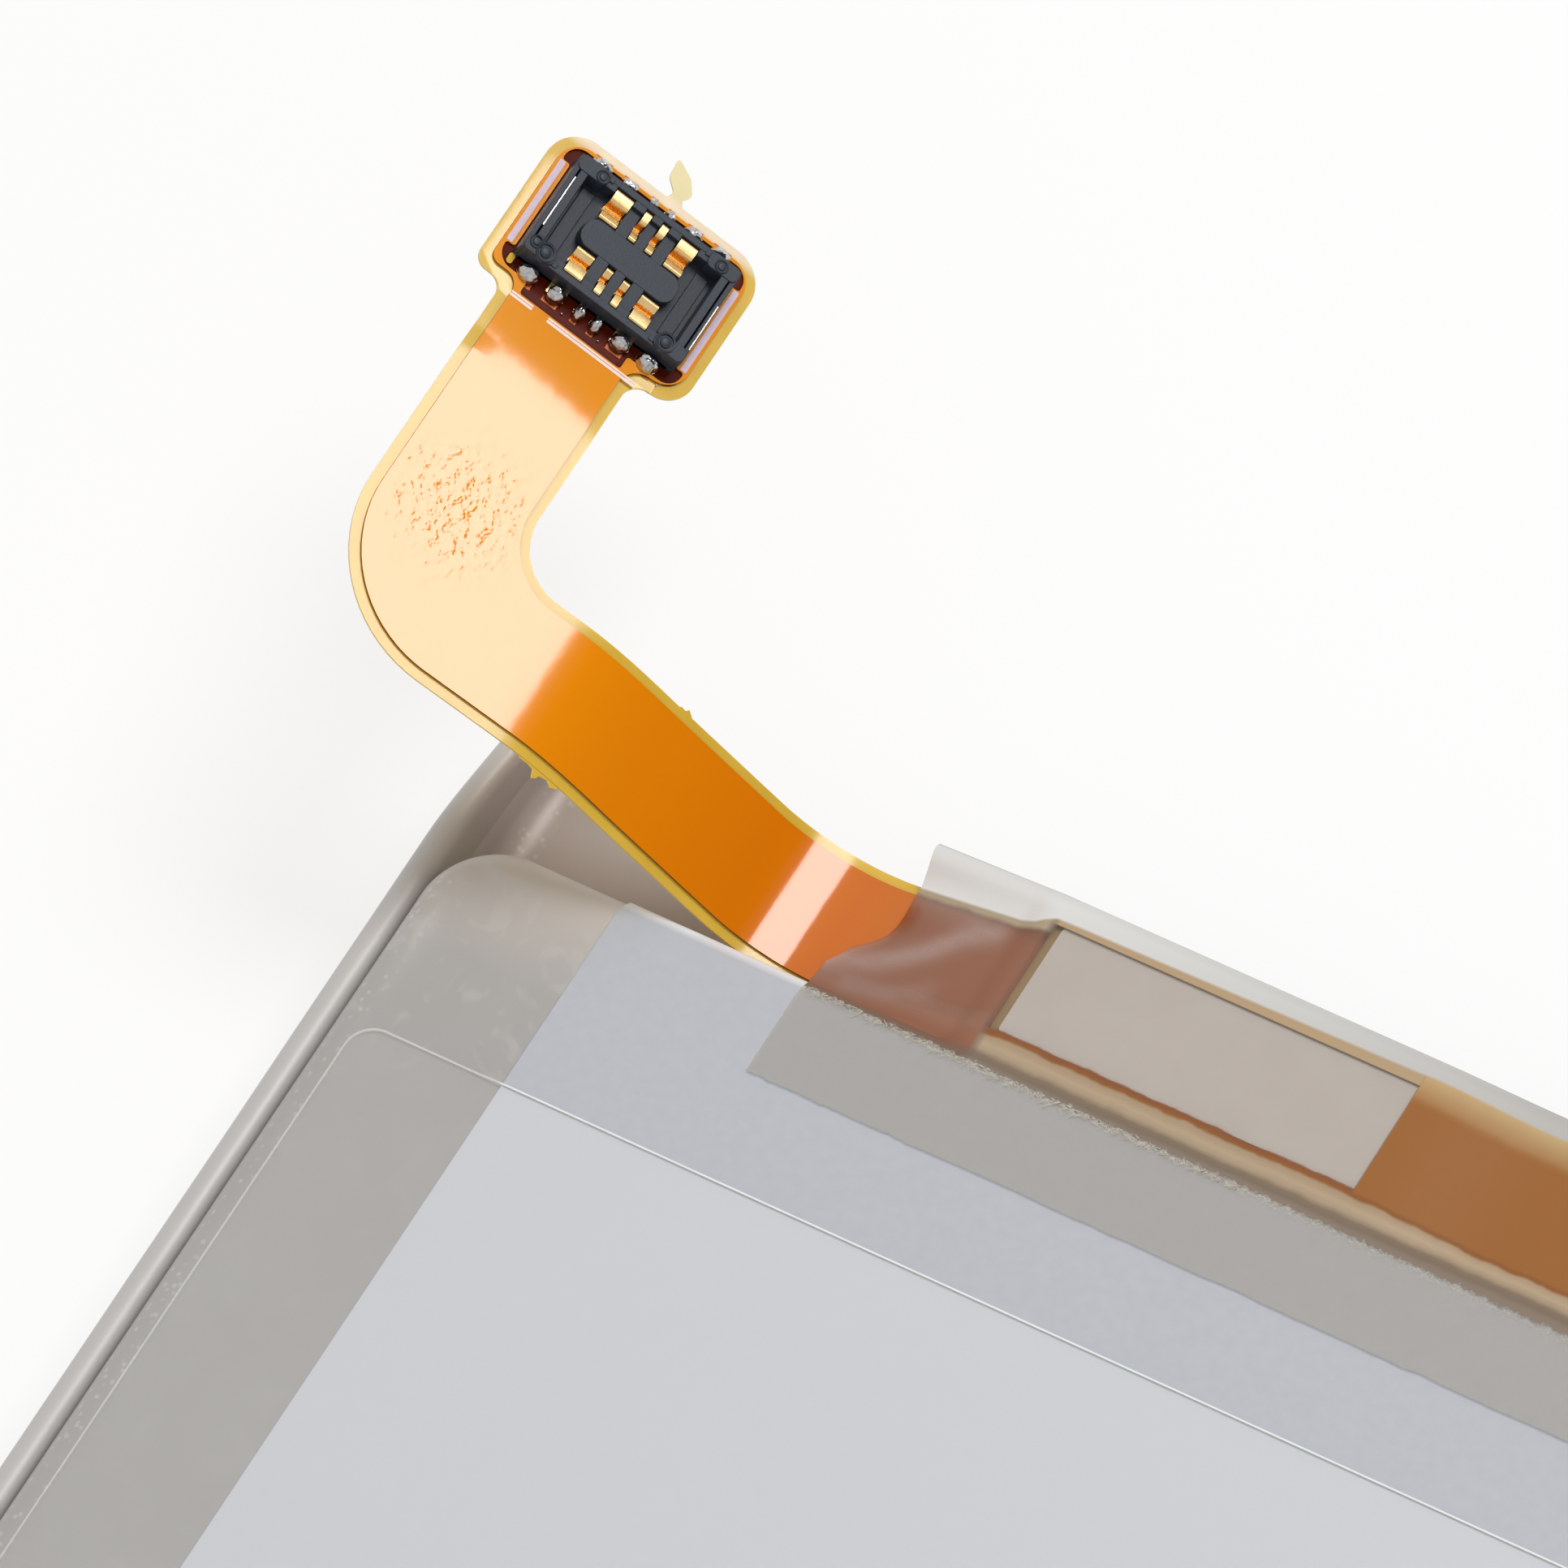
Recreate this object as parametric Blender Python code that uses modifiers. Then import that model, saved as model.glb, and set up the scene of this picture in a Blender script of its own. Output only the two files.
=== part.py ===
"""Lithium polymer battery of a mobile phone: sealed pouch cell, protection board on its terrace under
frosted tape, and a flexible circuit that rises to a board-to-board connector.

All sizes are in metres.
World frame: X across the cell, Y along it towards the terrace, Z out of the labelled face, and the
origin at the centre of the cell's flat back face.
"""
import math

import bmesh
import bpy
from mathutils import Matrix, Vector

# Clearance between pieces that touch on the real battery
clearance = 0.000012

# Pouch cell
cell_thickness = 0.0029
cell_width = 0.0430
cell_length = 0.0865
cell_corner_radius = 0.0016
cell_face_radius = 0.0006
cell_back_radius = 0.00025
flange_length = 0.00345
flange_thickness = 0.0002
flange_rise = 0.0001
flange_root = 0.001
fold_thickness = 0.00062
fold_gap = 0.00014
fold_height = 0.00235
fold_foot_radius = 0.0003
fold_web_height = 0.0005
fold_web_depth = 0.0004
fold_lean = 0.0003
lean_start = 0.0003
fence_thickness = 0.00037
fence_top_margin = 0.00045
fence_foot_radius = 0.00055
fence_foot_length = 0.0005
union_offset = 0.00003

# Label and films on the face
label_thickness = 0.00005
label_side_margin = 0.00385
label_bottom_margin = 0.004
label_wrap_angle = math.radians(62)
film_thickness = 0.00004
film_side_margin = 0.00065
film_top_margin = 0.00465
film_bottom_margin = 0.0022
film_corner_radius = 0.0006

# Protection board on the terrace
board_start = 0.01145
board_length = 0.0234
board_width = 0.00288
board_gap = 0.00037
board_thickness = 0.0009
board_drop = 0.00047
board_corner_radius = 0.00012
cap_length = 0.0081
cap_thickness = 0.00013
cap_front_margin = 0.00018
patch_length = 0.00783
patch_width = 0.0025
patch_side_margin = 0.0002
patch_front_margin = 0.00005
patch_thickness = 0.00005
patch_corner_radius = 0.00025

# Packages of the chips under the board: length, width and height
chip_package = (0.0018, 0.0016, 0.0006)
switch_package = (0.0020, 0.0018, 0.00065)
large_package = (0.0016, 0.0008, 0.00045)
medium_package = (0.001, 0.0005, 0.0004)
small_package = (0.0006, 0.0003, 0.0003)
chip_edge_radius = 0.00004
chip_row_offset = 0.00072
chip_gap = 0.00015
chip_margin = 0.0006

# Flexible circuit, laid out flat: distance along the strip to the left of the board, and Y
flex_base_thickness = 0.00006
flex_cover_thickness = 0.00006
flex_border = 0.00022
flex_strip_width = 0.00293
flex_arm_width = 0.0031
flex_arm_reach = 0.01702
flex_outer_radius = 0.0029
flex_inner_radius = 0.0012
flex_gap = 0.00017
flex_board_edge = 0.00008
flex_board_width = 0.0029
flex_board_margin = 0.0002
flex_board_overlap = 0.001
flex_jog_length = 0.0006
flex_jog_radius = 0.0002
flex_end_radius = 0.0003
flex_slope = math.radians(-13.0)
flex_slope_length = 0.00445
flex_valley_radius = 0.00095
flex_rise = math.radians(48.0)
flex_rise_length = 0.00415
flex_crest_radius = 0.009
flex_top_slope = math.radians(33.0)

# Head of the flexible circuit
head_length = 0.00486
head_width = 0.00346
head_top = 0.01122
head_offset = 0.000164
head_corner_radius = 0.00074
head_front_radius = 0.00062
neck_radius = 0.00042
neck_step_radius = 0.0003
burr_radius = 0.00005
stiffener_thickness = 0.00015
stiffener_inset = 0.00005
opening_length = 0.00424
opening_waist = 0.00386
opening_waist_height = 0.00204
opening_height = 0.00288
opening_step_depth = 0.0003
opening_step_left = 0.00135
opening_step_right = 0.00105
opening_corner_radius = 0.00034
opening_step_radius = 0.00006

# Board-to-board connector
housing_length = 0.00381
housing_width = 0.00234
housing_height = 0.00062
housing_edge_radius = 0.00005
housing_corner_radius = 0.00009
housing_floor = 0.00013
housing_end_wall = 0.00032
housing_side_wall = 0.00028
housing_notch = 0.0003
housing_notch_depth = 0.00014
moat_corner_radius = 0.0001
island_length = 0.00215
island_width = 0.00092
island_height = 0.00046
island_corner_radius = 0.00028
island_edge_radius = 0.00004
power_contact_place = 0.00077
signal_contact_place = 0.0002
power_contact_width = 0.0004
signal_contact_width = 0.00015
contact_thickness = 0.00006
contact_tail = 0.00025
contact_top_margin = 0.00012
contact_bend_radius = 0.00005
spring_reach = 0.00034
spring_drop = 0.00008
fitting_place = 0.00142
fitting_width = 0.0003
solder_height = 0.0002
solder_length = 0.00025
solder_margin = 0.00004

# Tape over the terrace
tape_thickness = 0.00005
tape_face_reach = 0.00235
tape_left = 0.0079
tape_edge_slant = 0.00045
tape_right_overhang = 0.0006
tape_valley_rise = 0.00025
tape_valley_radius = 0.00009
tape_shoulder_radius = 0.00055
tape_strip_lift = 0.00006
tape_slide = 0.0008
tape_under_reach = 0.0007
tape_under_radius = 0.0004

# Cell tabs
tab_width = 0.0035
tab_thickness = 0.0001
tab_overhang = 0.00015
tab_pocket_depth = 0.0006
tab_film_length = 0.00028
tab_film_margin = 0.0006
tab_run = 0.0023
plate_thickness = 0.00014
plate_width = 0.0042
plate_length = 0.0022
plate_margin = 0.00015
positive_tab_place = 0.0056
negative_tab_margin = 0.0052
strip_thickness = 0.00008
strip_width = 0.0026
strip_margin = 0.0003

# Places worked out from the sizes above
cell_left = -cell_width / 2
cell_top = cell_length / 2
face = cell_thickness
label_left = cell_left + label_side_margin
board_left = cell_left + board_start
board_right = board_left + board_length
board_front = cell_top + board_gap
board_back = board_front + board_width
board_top = face - board_drop
board_bottom = board_top - board_thickness
floor_top = flange_rise + flange_thickness
flange_middle = flange_rise + flange_thickness / 2
flange_end = cell_top + flange_length
base_bottom = board_top + clearance
base_middle = base_bottom + flex_base_thickness / 2
cover_bottom = flex_base_thickness / 2 + clearance
cover_top = cover_bottom + flex_cover_thickness
cap_front = board_front + cap_front_margin
cap_bottom = base_middle + cover_top + clearance
cap_top = cap_bottom + cap_thickness
patch_bottom = cap_top + clearance
patch_top = patch_bottom + patch_thickness
strip_front = cell_top + flex_gap
strip_back = strip_front + flex_strip_width
board_flex_front = board_front + flex_board_edge
board_flex_back = board_flex_front + flex_board_width
arm_left = -flex_arm_reach
arm_right = arm_left + flex_arm_width
head_middle = (arm_left + arm_right) / 2 + head_offset
head_left = head_middle - head_length / 2
head_right = head_middle + head_length / 2
head_back = cell_top + head_top
head_front = head_back - head_width
head_centre = (head_back + head_front) / 2
plate_top = board_bottom - clearance
tab_end = plate_top - plate_thickness - clearance - tab_thickness / 2
tab_bend_radius = (tab_end - flange_middle) / 2
positive_middle = board_left + positive_tab_place
negative_middle = board_right - negative_tab_margin
tape_top = patch_top + clearance + tape_thickness / 2
tape_outer = board_flex_back - clearance + tape_shoulder_radius
contact_places = (-power_contact_place, -signal_contact_place, signal_contact_place, power_contact_place)
contact_widths = (power_contact_width, signal_contact_width, signal_contact_width, power_contact_width)


def clear_scene():
    for old in list(bpy.data.objects):
        bpy.data.objects.remove(old)


def make_collection(name):
    collection = bpy.data.collections.new(name)
    bpy.context.scene.collection.children.link(collection)
    return collection


def make_material(name, colour, roughness, metallic=0.0):
    material = bpy.data.materials.new(name)
    material.use_nodes = True
    shader = material.node_tree.nodes["Principled BSDF"]
    shader.inputs["Base Color"].default_value = (*colour, 1.0)
    shader.inputs["Roughness"].default_value = roughness
    shader.inputs["Metallic"].default_value = metallic
    return material


def add_part(name, mesh, colour, roughness, metallic=0.0):
    """Link a mesh as a part with its own material."""
    mesh.name = name
    mesh.materials.clear()
    mesh.materials.append(make_material(name, colour, roughness, metallic))
    part = bpy.data.objects.new(name, mesh)
    parts.objects.link(part)
    return part


def rounded(corners, closed=True, step=math.radians(15)):
    """Points of a polygon or path whose corners (x, y, radius) become arcs."""
    points = []
    count = len(corners)
    for index, (x, y, radius) in enumerate(corners):
        corner = Vector((x, y))
        inner = 0 < index < count - 1
        if radius == 0 or not (closed or inner):
            points.append((x, y))
            continue
        before = Vector(corners[index - 1][:2])
        after = Vector(corners[(index + 1) % count][:2])
        way_in = (before - corner).normalized()
        way_out = (after - corner).normalized()
        angle = way_in.angle(way_out)
        if math.pi - angle < 1e-3:
            points.append((x, y))
            continue
        reach = radius / math.tan(angle / 2)
        centre = corner + (way_in + way_out).normalized() * (radius / math.sin(angle / 2))
        start = corner + way_in * reach - centre
        turn = math.pi - angle
        side = 1 if way_in.cross(way_out) < 0 else -1
        pieces = max(2, round(turn / step))
        for piece in range(pieces + 1):
            spoke = start.copy()
            spoke.rotate(Matrix.Rotation(side * turn * piece / pieces, 2))
            points.append(tuple(centre + spoke))
    return points


def slab(outlines, bottom, thickness):
    """Mesh of flat outlines, the first one solid and the others its holes, from a filled 2D curve."""
    # The fill joins points that lie within a few hundredths of a unit, so it is drawn in millimetres
    drawn = 1000
    curve = bpy.data.curves.new("outline", "CURVE")
    curve.dimensions = "2D"
    curve.fill_mode = "BOTH"
    curve.extrude = thickness * drawn / 2
    for outline in outlines:
        spline = curve.splines.new("POLY")
        spline.points.add(len(outline) - 1)
        for point, (x, y) in zip(spline.points, outline):
            point.co = (x * drawn, y * drawn, 0, 1)
        spline.use_cyclic_u = True
    carrier = bpy.data.objects.new("outline", curve)
    mesh = bpy.data.meshes.new_from_object(carrier)
    bpy.data.objects.remove(carrier)
    bpy.data.curves.remove(curve)
    shape = bmesh.new()
    shape.from_mesh(mesh)
    bmesh.ops.remove_doubles(shape, verts=shape.verts, dist=1e-4)
    bmesh.ops.dissolve_limit(shape, angle_limit=0.01, verts=shape.verts, edges=shape.edges)
    bmesh.ops.recalc_face_normals(shape, faces=shape.faces)
    shape.to_mesh(mesh)
    shape.free()
    mesh.transform(Matrix.Translation((0, 0, bottom + thickness / 2)) @ Matrix.Scale(1 / drawn, 4))
    return mesh


def rectangle(left, right, front, back, radius=0.0):
    return rounded([(left, front, radius), (right, front, radius), (right, back, radius), (left, back, radius)])


def block(left, right, front, back, bottom, top):
    """Mesh of a plain box between six planes."""
    shape = bmesh.new()
    bmesh.ops.create_cube(shape, size=1.0)
    size = Vector((right - left, back - front, top - bottom))
    middle = Vector(((left + right) / 2, (front + back) / 2, (bottom + top) / 2))
    bmesh.ops.scale(shape, vec=size, verts=shape.verts)
    bmesh.ops.translate(shape, vec=middle, verts=shape.verts)
    mesh = bpy.data.meshes.new("block")
    shape.to_mesh(mesh)
    shape.free()
    return mesh


def soften(mesh, radius, chosen, segments=4):
    """Round the edges of a mesh that the test picks."""
    shape = bmesh.new()
    shape.from_mesh(mesh)
    edges = [edge for edge in shape.edges if chosen(edge)]
    bmesh.ops.bevel(shape, geom=edges, offset=radius, segments=segments, profile=0.5, affect="EDGES")
    shape.to_mesh(mesh)
    shape.free()
    return mesh


def rim_at(height):
    """Test for the edges of a slab's rim at one height."""
    def chosen(edge):
        level = all(abs(corner.co.z - height) < 1e-7 for corner in edge.verts)
        return level and any(abs(side.normal.z) < 0.5 for side in edge.link_faces)
    return chosen


def combined(mesh, tools, operation):
    """Boolean of a mesh with one or more tool meshes."""
    carrier = bpy.data.objects.new("carrier", mesh)
    parts.objects.link(carrier)
    helpers = []
    for tool_mesh in tools:
        tool = bpy.data.objects.new("tool", tool_mesh)
        tool.hide_render = True
        tool.display_type = "WIRE"
        cutters.objects.link(tool)
        helpers.append(tool)
        modifier = carrier.modifiers.new(operation.title(), "BOOLEAN")
        modifier.operation = operation
        modifier.solver = "EXACT"
        modifier.object = tool
    graph = bpy.context.evaluated_depsgraph_get()
    result = bpy.data.meshes.new_from_object(carrier.evaluated_get(graph))
    for helper in helpers:
        bpy.data.objects.remove(helper)
    bpy.data.objects.remove(carrier)
    shape = bmesh.new()
    shape.from_mesh(result)
    bmesh.ops.remove_doubles(shape, verts=shape.verts, dist=1e-7)
    bmesh.ops.dissolve_degenerate(shape, dist=1e-7, edges=shape.edges)
    shape.to_mesh(result)
    shape.free()
    return result


def thickened(mesh, thickness, offset=0.0):
    """Closed sheet of even thickness from an open surface."""
    carrier = bpy.data.objects.new("sheet", mesh)
    parts.objects.link(carrier)
    modifier = carrier.modifiers.new("Solidify", "SOLIDIFY")
    modifier.thickness = thickness
    modifier.offset = offset
    modifier.use_even_offset = True
    graph = bpy.context.evaluated_depsgraph_get()
    result = bpy.data.meshes.new_from_object(carrier.evaluated_get(graph))
    bpy.data.objects.remove(carrier)
    shape = bmesh.new()
    shape.from_mesh(result)
    bmesh.ops.recalc_face_normals(shape, faces=shape.faces)
    shape.to_mesh(result)
    shape.free()
    return result


def formed_strip(path, middle, width, thickness):
    """Closed strip of metal bent along a path in Y and Z, its width lying along X."""
    shape = bmesh.new()
    row = [shape.verts.new((middle - width / 2, y, z)) for y, z in path]
    edges = [shape.edges.new(pair) for pair in zip(row, row[1:])]
    moved = bmesh.ops.extrude_edge_only(shape, edges=edges)["geom"]
    far = [item for item in moved if isinstance(item, bmesh.types.BMVert)]
    bmesh.ops.translate(shape, vec=(width, 0, 0), verts=far)
    mesh = bpy.data.meshes.new("strip")
    shape.to_mesh(mesh)
    shape.free()
    return thickened(mesh, thickness)


def flex_profile():
    """The strip's side view as (length, start angle, end angle) pieces, leftwards from the board."""
    valley_turn = flex_rise - flex_slope
    crest_turn = flex_rise - flex_top_slope
    return (
        (flex_slope_length, flex_slope, flex_slope),
        (flex_valley_radius * valley_turn, flex_slope, flex_rise),
        (flex_rise_length, flex_rise, flex_rise),
        (flex_crest_radius * crest_turn, flex_rise, flex_top_slope),
        (flex_arm_reach + head_length, flex_top_slope, flex_top_slope),
    )


def flex_place(distance):
    """X, Z and tilt of the strip's middle plane at a distance along it, left of the board."""
    x = board_left
    z = base_middle
    if distance <= 0:
        return x - distance, z, 0.0
    for length, start, end in flex_profile():
        run = min(distance, length)
        angle = start + (end - start) * run / length
        if abs(end - start) < 1e-9:
            x -= run * math.cos(start)
            z += run * math.sin(start)
        else:
            radius = length / (end - start)
            x -= radius * (math.sin(angle) - math.sin(start))
            z += radius * (math.cos(start) - math.cos(angle))
        distance -= run
        if distance <= 0:
            break
    return x, z, angle


def bend_stations():
    """Distances at which a flat sheet is cut before it is bent, about every seven degrees."""
    stations = [0.0]
    distance = 0.0
    for length, start, end in flex_profile()[:-1]:
        pieces = max(1, round(abs(end - start) / math.radians(7)))
        stations += [distance + length * piece / pieces for piece in range(1, pieces + 1)]
        distance += length
    return stations


def bent(mesh):
    """Bend a flat mesh (x = minus the distance left of the board) to the strip's side view."""
    shape = bmesh.new()
    shape.from_mesh(mesh)
    for station in bend_stations():
        everything = shape.verts[:] + shape.edges[:] + shape.faces[:]
        bmesh.ops.bisect_plane(shape, geom=everything, dist=1e-8, plane_co=(-station, 0, 0), plane_no=(1, 0, 0))
    for corner in shape.verts:
        x, z, tilt = flex_place(-corner.co.x)
        height = corner.co.z
        corner.co.x = x + height * math.sin(tilt)
        corner.co.z = z + height * math.cos(tilt)
    bmesh.ops.triangulate(shape, faces=[side for side in shape.faces if len(side.verts) > 4])
    shape.to_mesh(mesh)
    shape.free()
    return mesh


def side_fold(side):
    """Seam folded up along one long side, with its fence beside the terrace."""
    outer = cell_width / 2 + fold_gap + fold_thickness
    inner = cell_width / 2 + fold_gap
    radius = fold_thickness / 2 - union_offset / 6
    web = inner - fold_web_depth
    roll_outline = rounded([
        (outer, union_offset, fold_foot_radius), (outer, fold_height, radius), (inner, fold_height, radius),
        (inner, fold_web_height, fold_web_depth / 4), (web, fold_web_height, 0), (web, union_offset, 0)])
    roll = slab([roll_outline], -cell_top, cell_length + flange_length)
    foot = inner - fence_foot_radius - fence_foot_length
    root = flange_rise + union_offset
    fence_top = fold_height - fence_top_margin
    fence_outline = rounded([
        (inner + fence_thickness, root, 0), (inner + fence_thickness, fence_top, 0),
        (inner + fold_gap, fence_top, 0), (inner - fold_gap, floor_top - 2 * union_offset, fence_foot_radius),
        (foot, floor_top - 3 * union_offset, 0), (foot, root, 0)])
    fence_length = flange_length + fence_foot_length - union_offset
    fence = slab([fence_outline], cell_top - fence_foot_length, fence_length)
    shape = bmesh.new()
    shape.from_mesh(combined(roll, [fence], "UNION"))
    everything = shape.verts[:] + shape.edges[:] + shape.faces[:]
    bmesh.ops.bisect_plane(
        shape, geom=everything, dist=1e-8, plane_co=(0, 0, cell_top - lean_start), plane_no=(0, 0, 1))
    for corner in shape.verts:
        x, z, y = corner.co
        along = max(0.0, y - cell_top + lean_start) / (flange_length + lean_start)
        x -= fold_lean * along * z / fold_height
        corner.co = (side * x, y, z)
    bmesh.ops.triangulate(shape, faces=shape.faces)
    bmesh.ops.recalc_face_normals(shape, faces=shape.faces)
    mesh = bpy.data.meshes.new("fold")
    shape.to_mesh(mesh)
    shape.free()
    return mesh


def make_pouch_cell():
    plan = rectangle(cell_left, -cell_left, -cell_top, cell_top, cell_corner_radius)
    body = slab([plan], 0, cell_thickness)
    soften(body, cell_face_radius, rim_at(face), 5)
    soften(body, cell_back_radius, rim_at(0), 2)
    reach = cell_width / 2 + fold_gap + fold_thickness / 3
    end = flange_end - union_offset / 3
    flange = block(-reach, reach, cell_top - flange_root, end, flange_rise, floor_top)
    mesh = combined(body, [flange, side_fold(1), side_fold(-1)], "UNION")
    pockets = []
    for middle in (positive_middle, negative_middle):
        half = tab_width / 2 + clearance
        rise = tab_thickness / 2 + clearance
        pockets.append(block(
            middle - half, middle + half, flange_end - tab_pocket_depth, flange_end + tab_pocket_depth,
            flange_middle - rise, flange_middle + rise))
    mesh = combined(mesh, pockets, "DIFFERENCE")
    return add_part("pouch_cell", mesh, (0.43, 0.42, 0.40), 0.42, 0.25)


def wrapped_over_edge(mesh, start, radius, angle, steps=6):
    """Bend the far end of a flat sheet down over the cell's rounded end."""
    shape = bmesh.new()
    shape.from_mesh(mesh)
    for step in range(steps):
        everything = shape.verts[:] + shape.edges[:] + shape.faces[:]
        plane = (0, start + radius * angle * step / steps, 0)
        bmesh.ops.bisect_plane(shape, geom=everything, dist=1e-8, plane_co=plane, plane_no=(0, 1, 0))
    for corner in shape.verts:
        turn = (corner.co.y - start) / radius
        if turn > 0:
            reach = corner.co.z - (face - radius)
            corner.co.y = start + reach * math.sin(turn)
            corner.co.z = face - radius + reach * math.cos(turn)
    shape.to_mesh(mesh)
    shape.free()
    return mesh


def make_label():
    start = cell_top - cell_face_radius
    end = start + cell_face_radius * label_wrap_angle
    plan = rectangle(label_left, -label_left, -cell_top + label_bottom_margin, end)
    mesh = slab([plan], face + clearance, label_thickness)
    wrapped_over_edge(mesh, start, cell_face_radius, label_wrap_angle)
    return add_part("face_label", mesh, (0.55, 0.59, 0.63), 0.6)


def make_film():
    left = cell_left + film_side_margin
    front = -cell_top + film_bottom_margin
    back = cell_top - film_top_margin
    bottom = face + 2 * clearance + label_thickness
    mesh = slab([rectangle(left, -left, front, back, film_corner_radius)], bottom, film_thickness)
    return add_part("adhesive_film", mesh, (0.62, 0.63, 0.63), 0.35)


def burr_outline():
    """Torn leaf-shaped sliver on the head's far edge, from its root on the right to its root on the left."""
    unit = burr_radius
    shape = ((6.6, 0, 1), (5.0, 2.6, 1), (7.6, 6.0, 2.4), (3.2, 12.0, 6),
             (-5.2, 16.0, 0.8), (-4.4, 7.6, 4), (0.4, 3.4, 1), (-0.8, 0, 1))
    return [(head_middle + x * unit, head_back + y * unit, radius * unit) for x, y, radius in shape]


def flex_outline(inset=0.0, burr=False):
    """Outline of the whole flexible circuit laid flat, moved inwards by an inset."""
    left = head_left + inset
    right = head_right - inset
    front = head_front + inset
    back = head_back - inset
    far_edge = burr_outline() if burr else []
    strip = (strip_front + inset, strip_back - inset)
    on_board = (board_flex_front + inset, board_flex_back - inset)
    end = board_length - flex_board_margin - inset
    jog_start = -flex_board_overlap
    jog_end = jog_start - flex_jog_length
    return rounded([
        (end, on_board[0], flex_end_radius), (end, on_board[1], flex_end_radius),
        (jog_start, on_board[1], flex_jog_radius), (jog_end, strip[1], flex_jog_radius),
        (arm_right - inset, strip[1], flex_inner_radius + inset),
        (arm_right - inset, front, neck_radius + 0.3 * inset), (right, front, head_front_radius - 0.3 * inset),
        (right, back, head_corner_radius - inset), *far_edge,
        (left, back, head_corner_radius - inset), (left, front, neck_step_radius - 0.4 * inset),
        (arm_left + inset, front, neck_step_radius), (arm_left + inset, strip[0], flex_outer_radius - inset),
        (jog_end, strip[0], flex_jog_radius), (jog_start, on_board[0], flex_jog_radius)], step=math.radians(12))


def opening_outline():
    """Window in the cover film round the connector: waisted at the sides, stepped down towards the arm."""
    wide = opening_length / 2
    waist = opening_waist / 2
    side = opening_waist_height / 2
    reach = opening_height / 2
    low = reach + opening_step_depth
    large = opening_corner_radius
    small = opening_step_radius
    corners = (
        (-wide, -reach, large), (-opening_step_left, -reach, small), (-opening_step_left, -low, small),
        (opening_step_right, -low, small), (opening_step_right, -reach, small), (wide, -reach, large),
        (wide, -side, small), (waist, -side, small), (waist, side, small), (wide, side, small),
        (wide, reach, large), (-wide, reach, large), (-wide, side, small), (-waist, side, small),
        (-waist, -side, small), (-wide, -side, small))
    return rounded(
        [(head_middle + x, head_centre + y, radius) for x, y, radius in corners], step=math.radians(30))


def make_flex():
    base = slab([flex_outline(burr=True)], -flex_base_thickness / 2, flex_base_thickness)
    add_part("flex_base", bent(base), (0.72, 0.47, 0.05), 0.3)
    cover = slab([flex_outline(flex_border), opening_outline()], cover_bottom, flex_cover_thickness)
    add_part("flex_coverlay", bent(cover), (0.80, 0.29, 0.01), 0.2)
    plate = rectangle(
        head_left + stiffener_inset, head_right - stiffener_inset,
        head_front + stiffener_inset, head_back - stiffener_inset, head_corner_radius - stiffener_inset)
    bottom = -flex_base_thickness / 2 - clearance - stiffener_thickness
    add_part("head_stiffener", bent(slab([plate], bottom, stiffener_thickness)), (0.60, 0.36, 0.05), 0.5)


def make_head_origin():
    """Empty on the head's upper surface, tilted with it, that carries the connector."""
    x, z, tilt = flex_place(-head_middle)
    lift = flex_base_thickness / 2 + clearance
    origin = bpy.data.objects.new("head_origin", None)
    origin.location = (x + lift * math.sin(tilt), head_centre, z + lift * math.cos(tilt))
    origin.rotation_euler = (0, tilt, 0)
    parts.objects.link(origin)
    return origin


def contact_slots():
    """Cuts in the housing's long walls for the contacts and under its ends for the fittings."""
    tools = []
    wall_inner = housing_width / 2 - housing_side_wall
    tunnel = contact_thickness + 3 * clearance
    below = -housing_floor
    slot_top = housing_height - contact_top_margin / 2
    slot_depth = 2.5 * contact_thickness
    for place, width in zip(contact_places, contact_widths):
        left = place - width / 2 - clearance
        right = place + width / 2 + clearance
        for side in (-1, 1):
            slot = sorted((side * (wall_inner - contact_thickness), side * (wall_inner + slot_depth)))
            foot = sorted((side * wall_inner, side * housing_width))
            tools.append(block(left, right, *slot, below, slot_top))
            tools.append(block(left, right, *foot, below, tunnel))
            pocket = sorted((side * (island_width / 2 - slot_depth), side * (island_width / 2 + clearance)))
            tools.append(block(left, right, *pocket, housing_floor, housing_height))
    for side in (-1, 1):
        left = side * fitting_place - fitting_width / 2 - clearance
        right = side * fitting_place + fitting_width / 2 + clearance
        tools.append(block(left, right, -housing_width, housing_width, below, tunnel))
    return tools


def make_housing(origin):
    half_length = housing_length / 2
    half_width = housing_width / 2
    plan = rectangle(-half_length, half_length, -half_width, half_width, housing_corner_radius)
    body = slab([plan], 0, housing_height)
    soften(body, housing_edge_radius, rim_at(housing_height), 2)
    moat = rectangle(
        -half_length + housing_end_wall, half_length - housing_end_wall,
        -half_width + housing_side_wall, half_width - housing_side_wall, moat_corner_radius)
    island = rectangle(
        -island_length / 2, island_length / 2, -island_width / 2, island_width / 2, island_corner_radius)
    recess = slab([moat], housing_floor, housing_height)
    root = housing_floor / 2
    centre = slab([island], root, island_height - root)
    soften(centre, island_edge_radius, rim_at(island_height), 2)
    mesh = combined(body, [recess], "DIFFERENCE")
    mesh = combined(mesh, [centre], "UNION")
    corners = []
    rim = 0.4 * housing_notch
    for x_side in (-1, 1):
        for y_side in (-1, 1):
            x_range = sorted((x_side * (half_length - rim - housing_notch), x_side * (half_length - rim)))
            y_range = sorted((y_side * (half_width - housing_notch), y_side * (half_width - rim)))
            corners.append(block(*x_range, *y_range, housing_height - housing_notch_depth, 2 * housing_height))
    mesh = combined(mesh, corners + contact_slots(), "DIFFERENCE")
    housing = add_part("connector_housing", mesh, (0.055, 0.065, 0.075), 0.45)
    housing.parent = origin
    return housing


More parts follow.
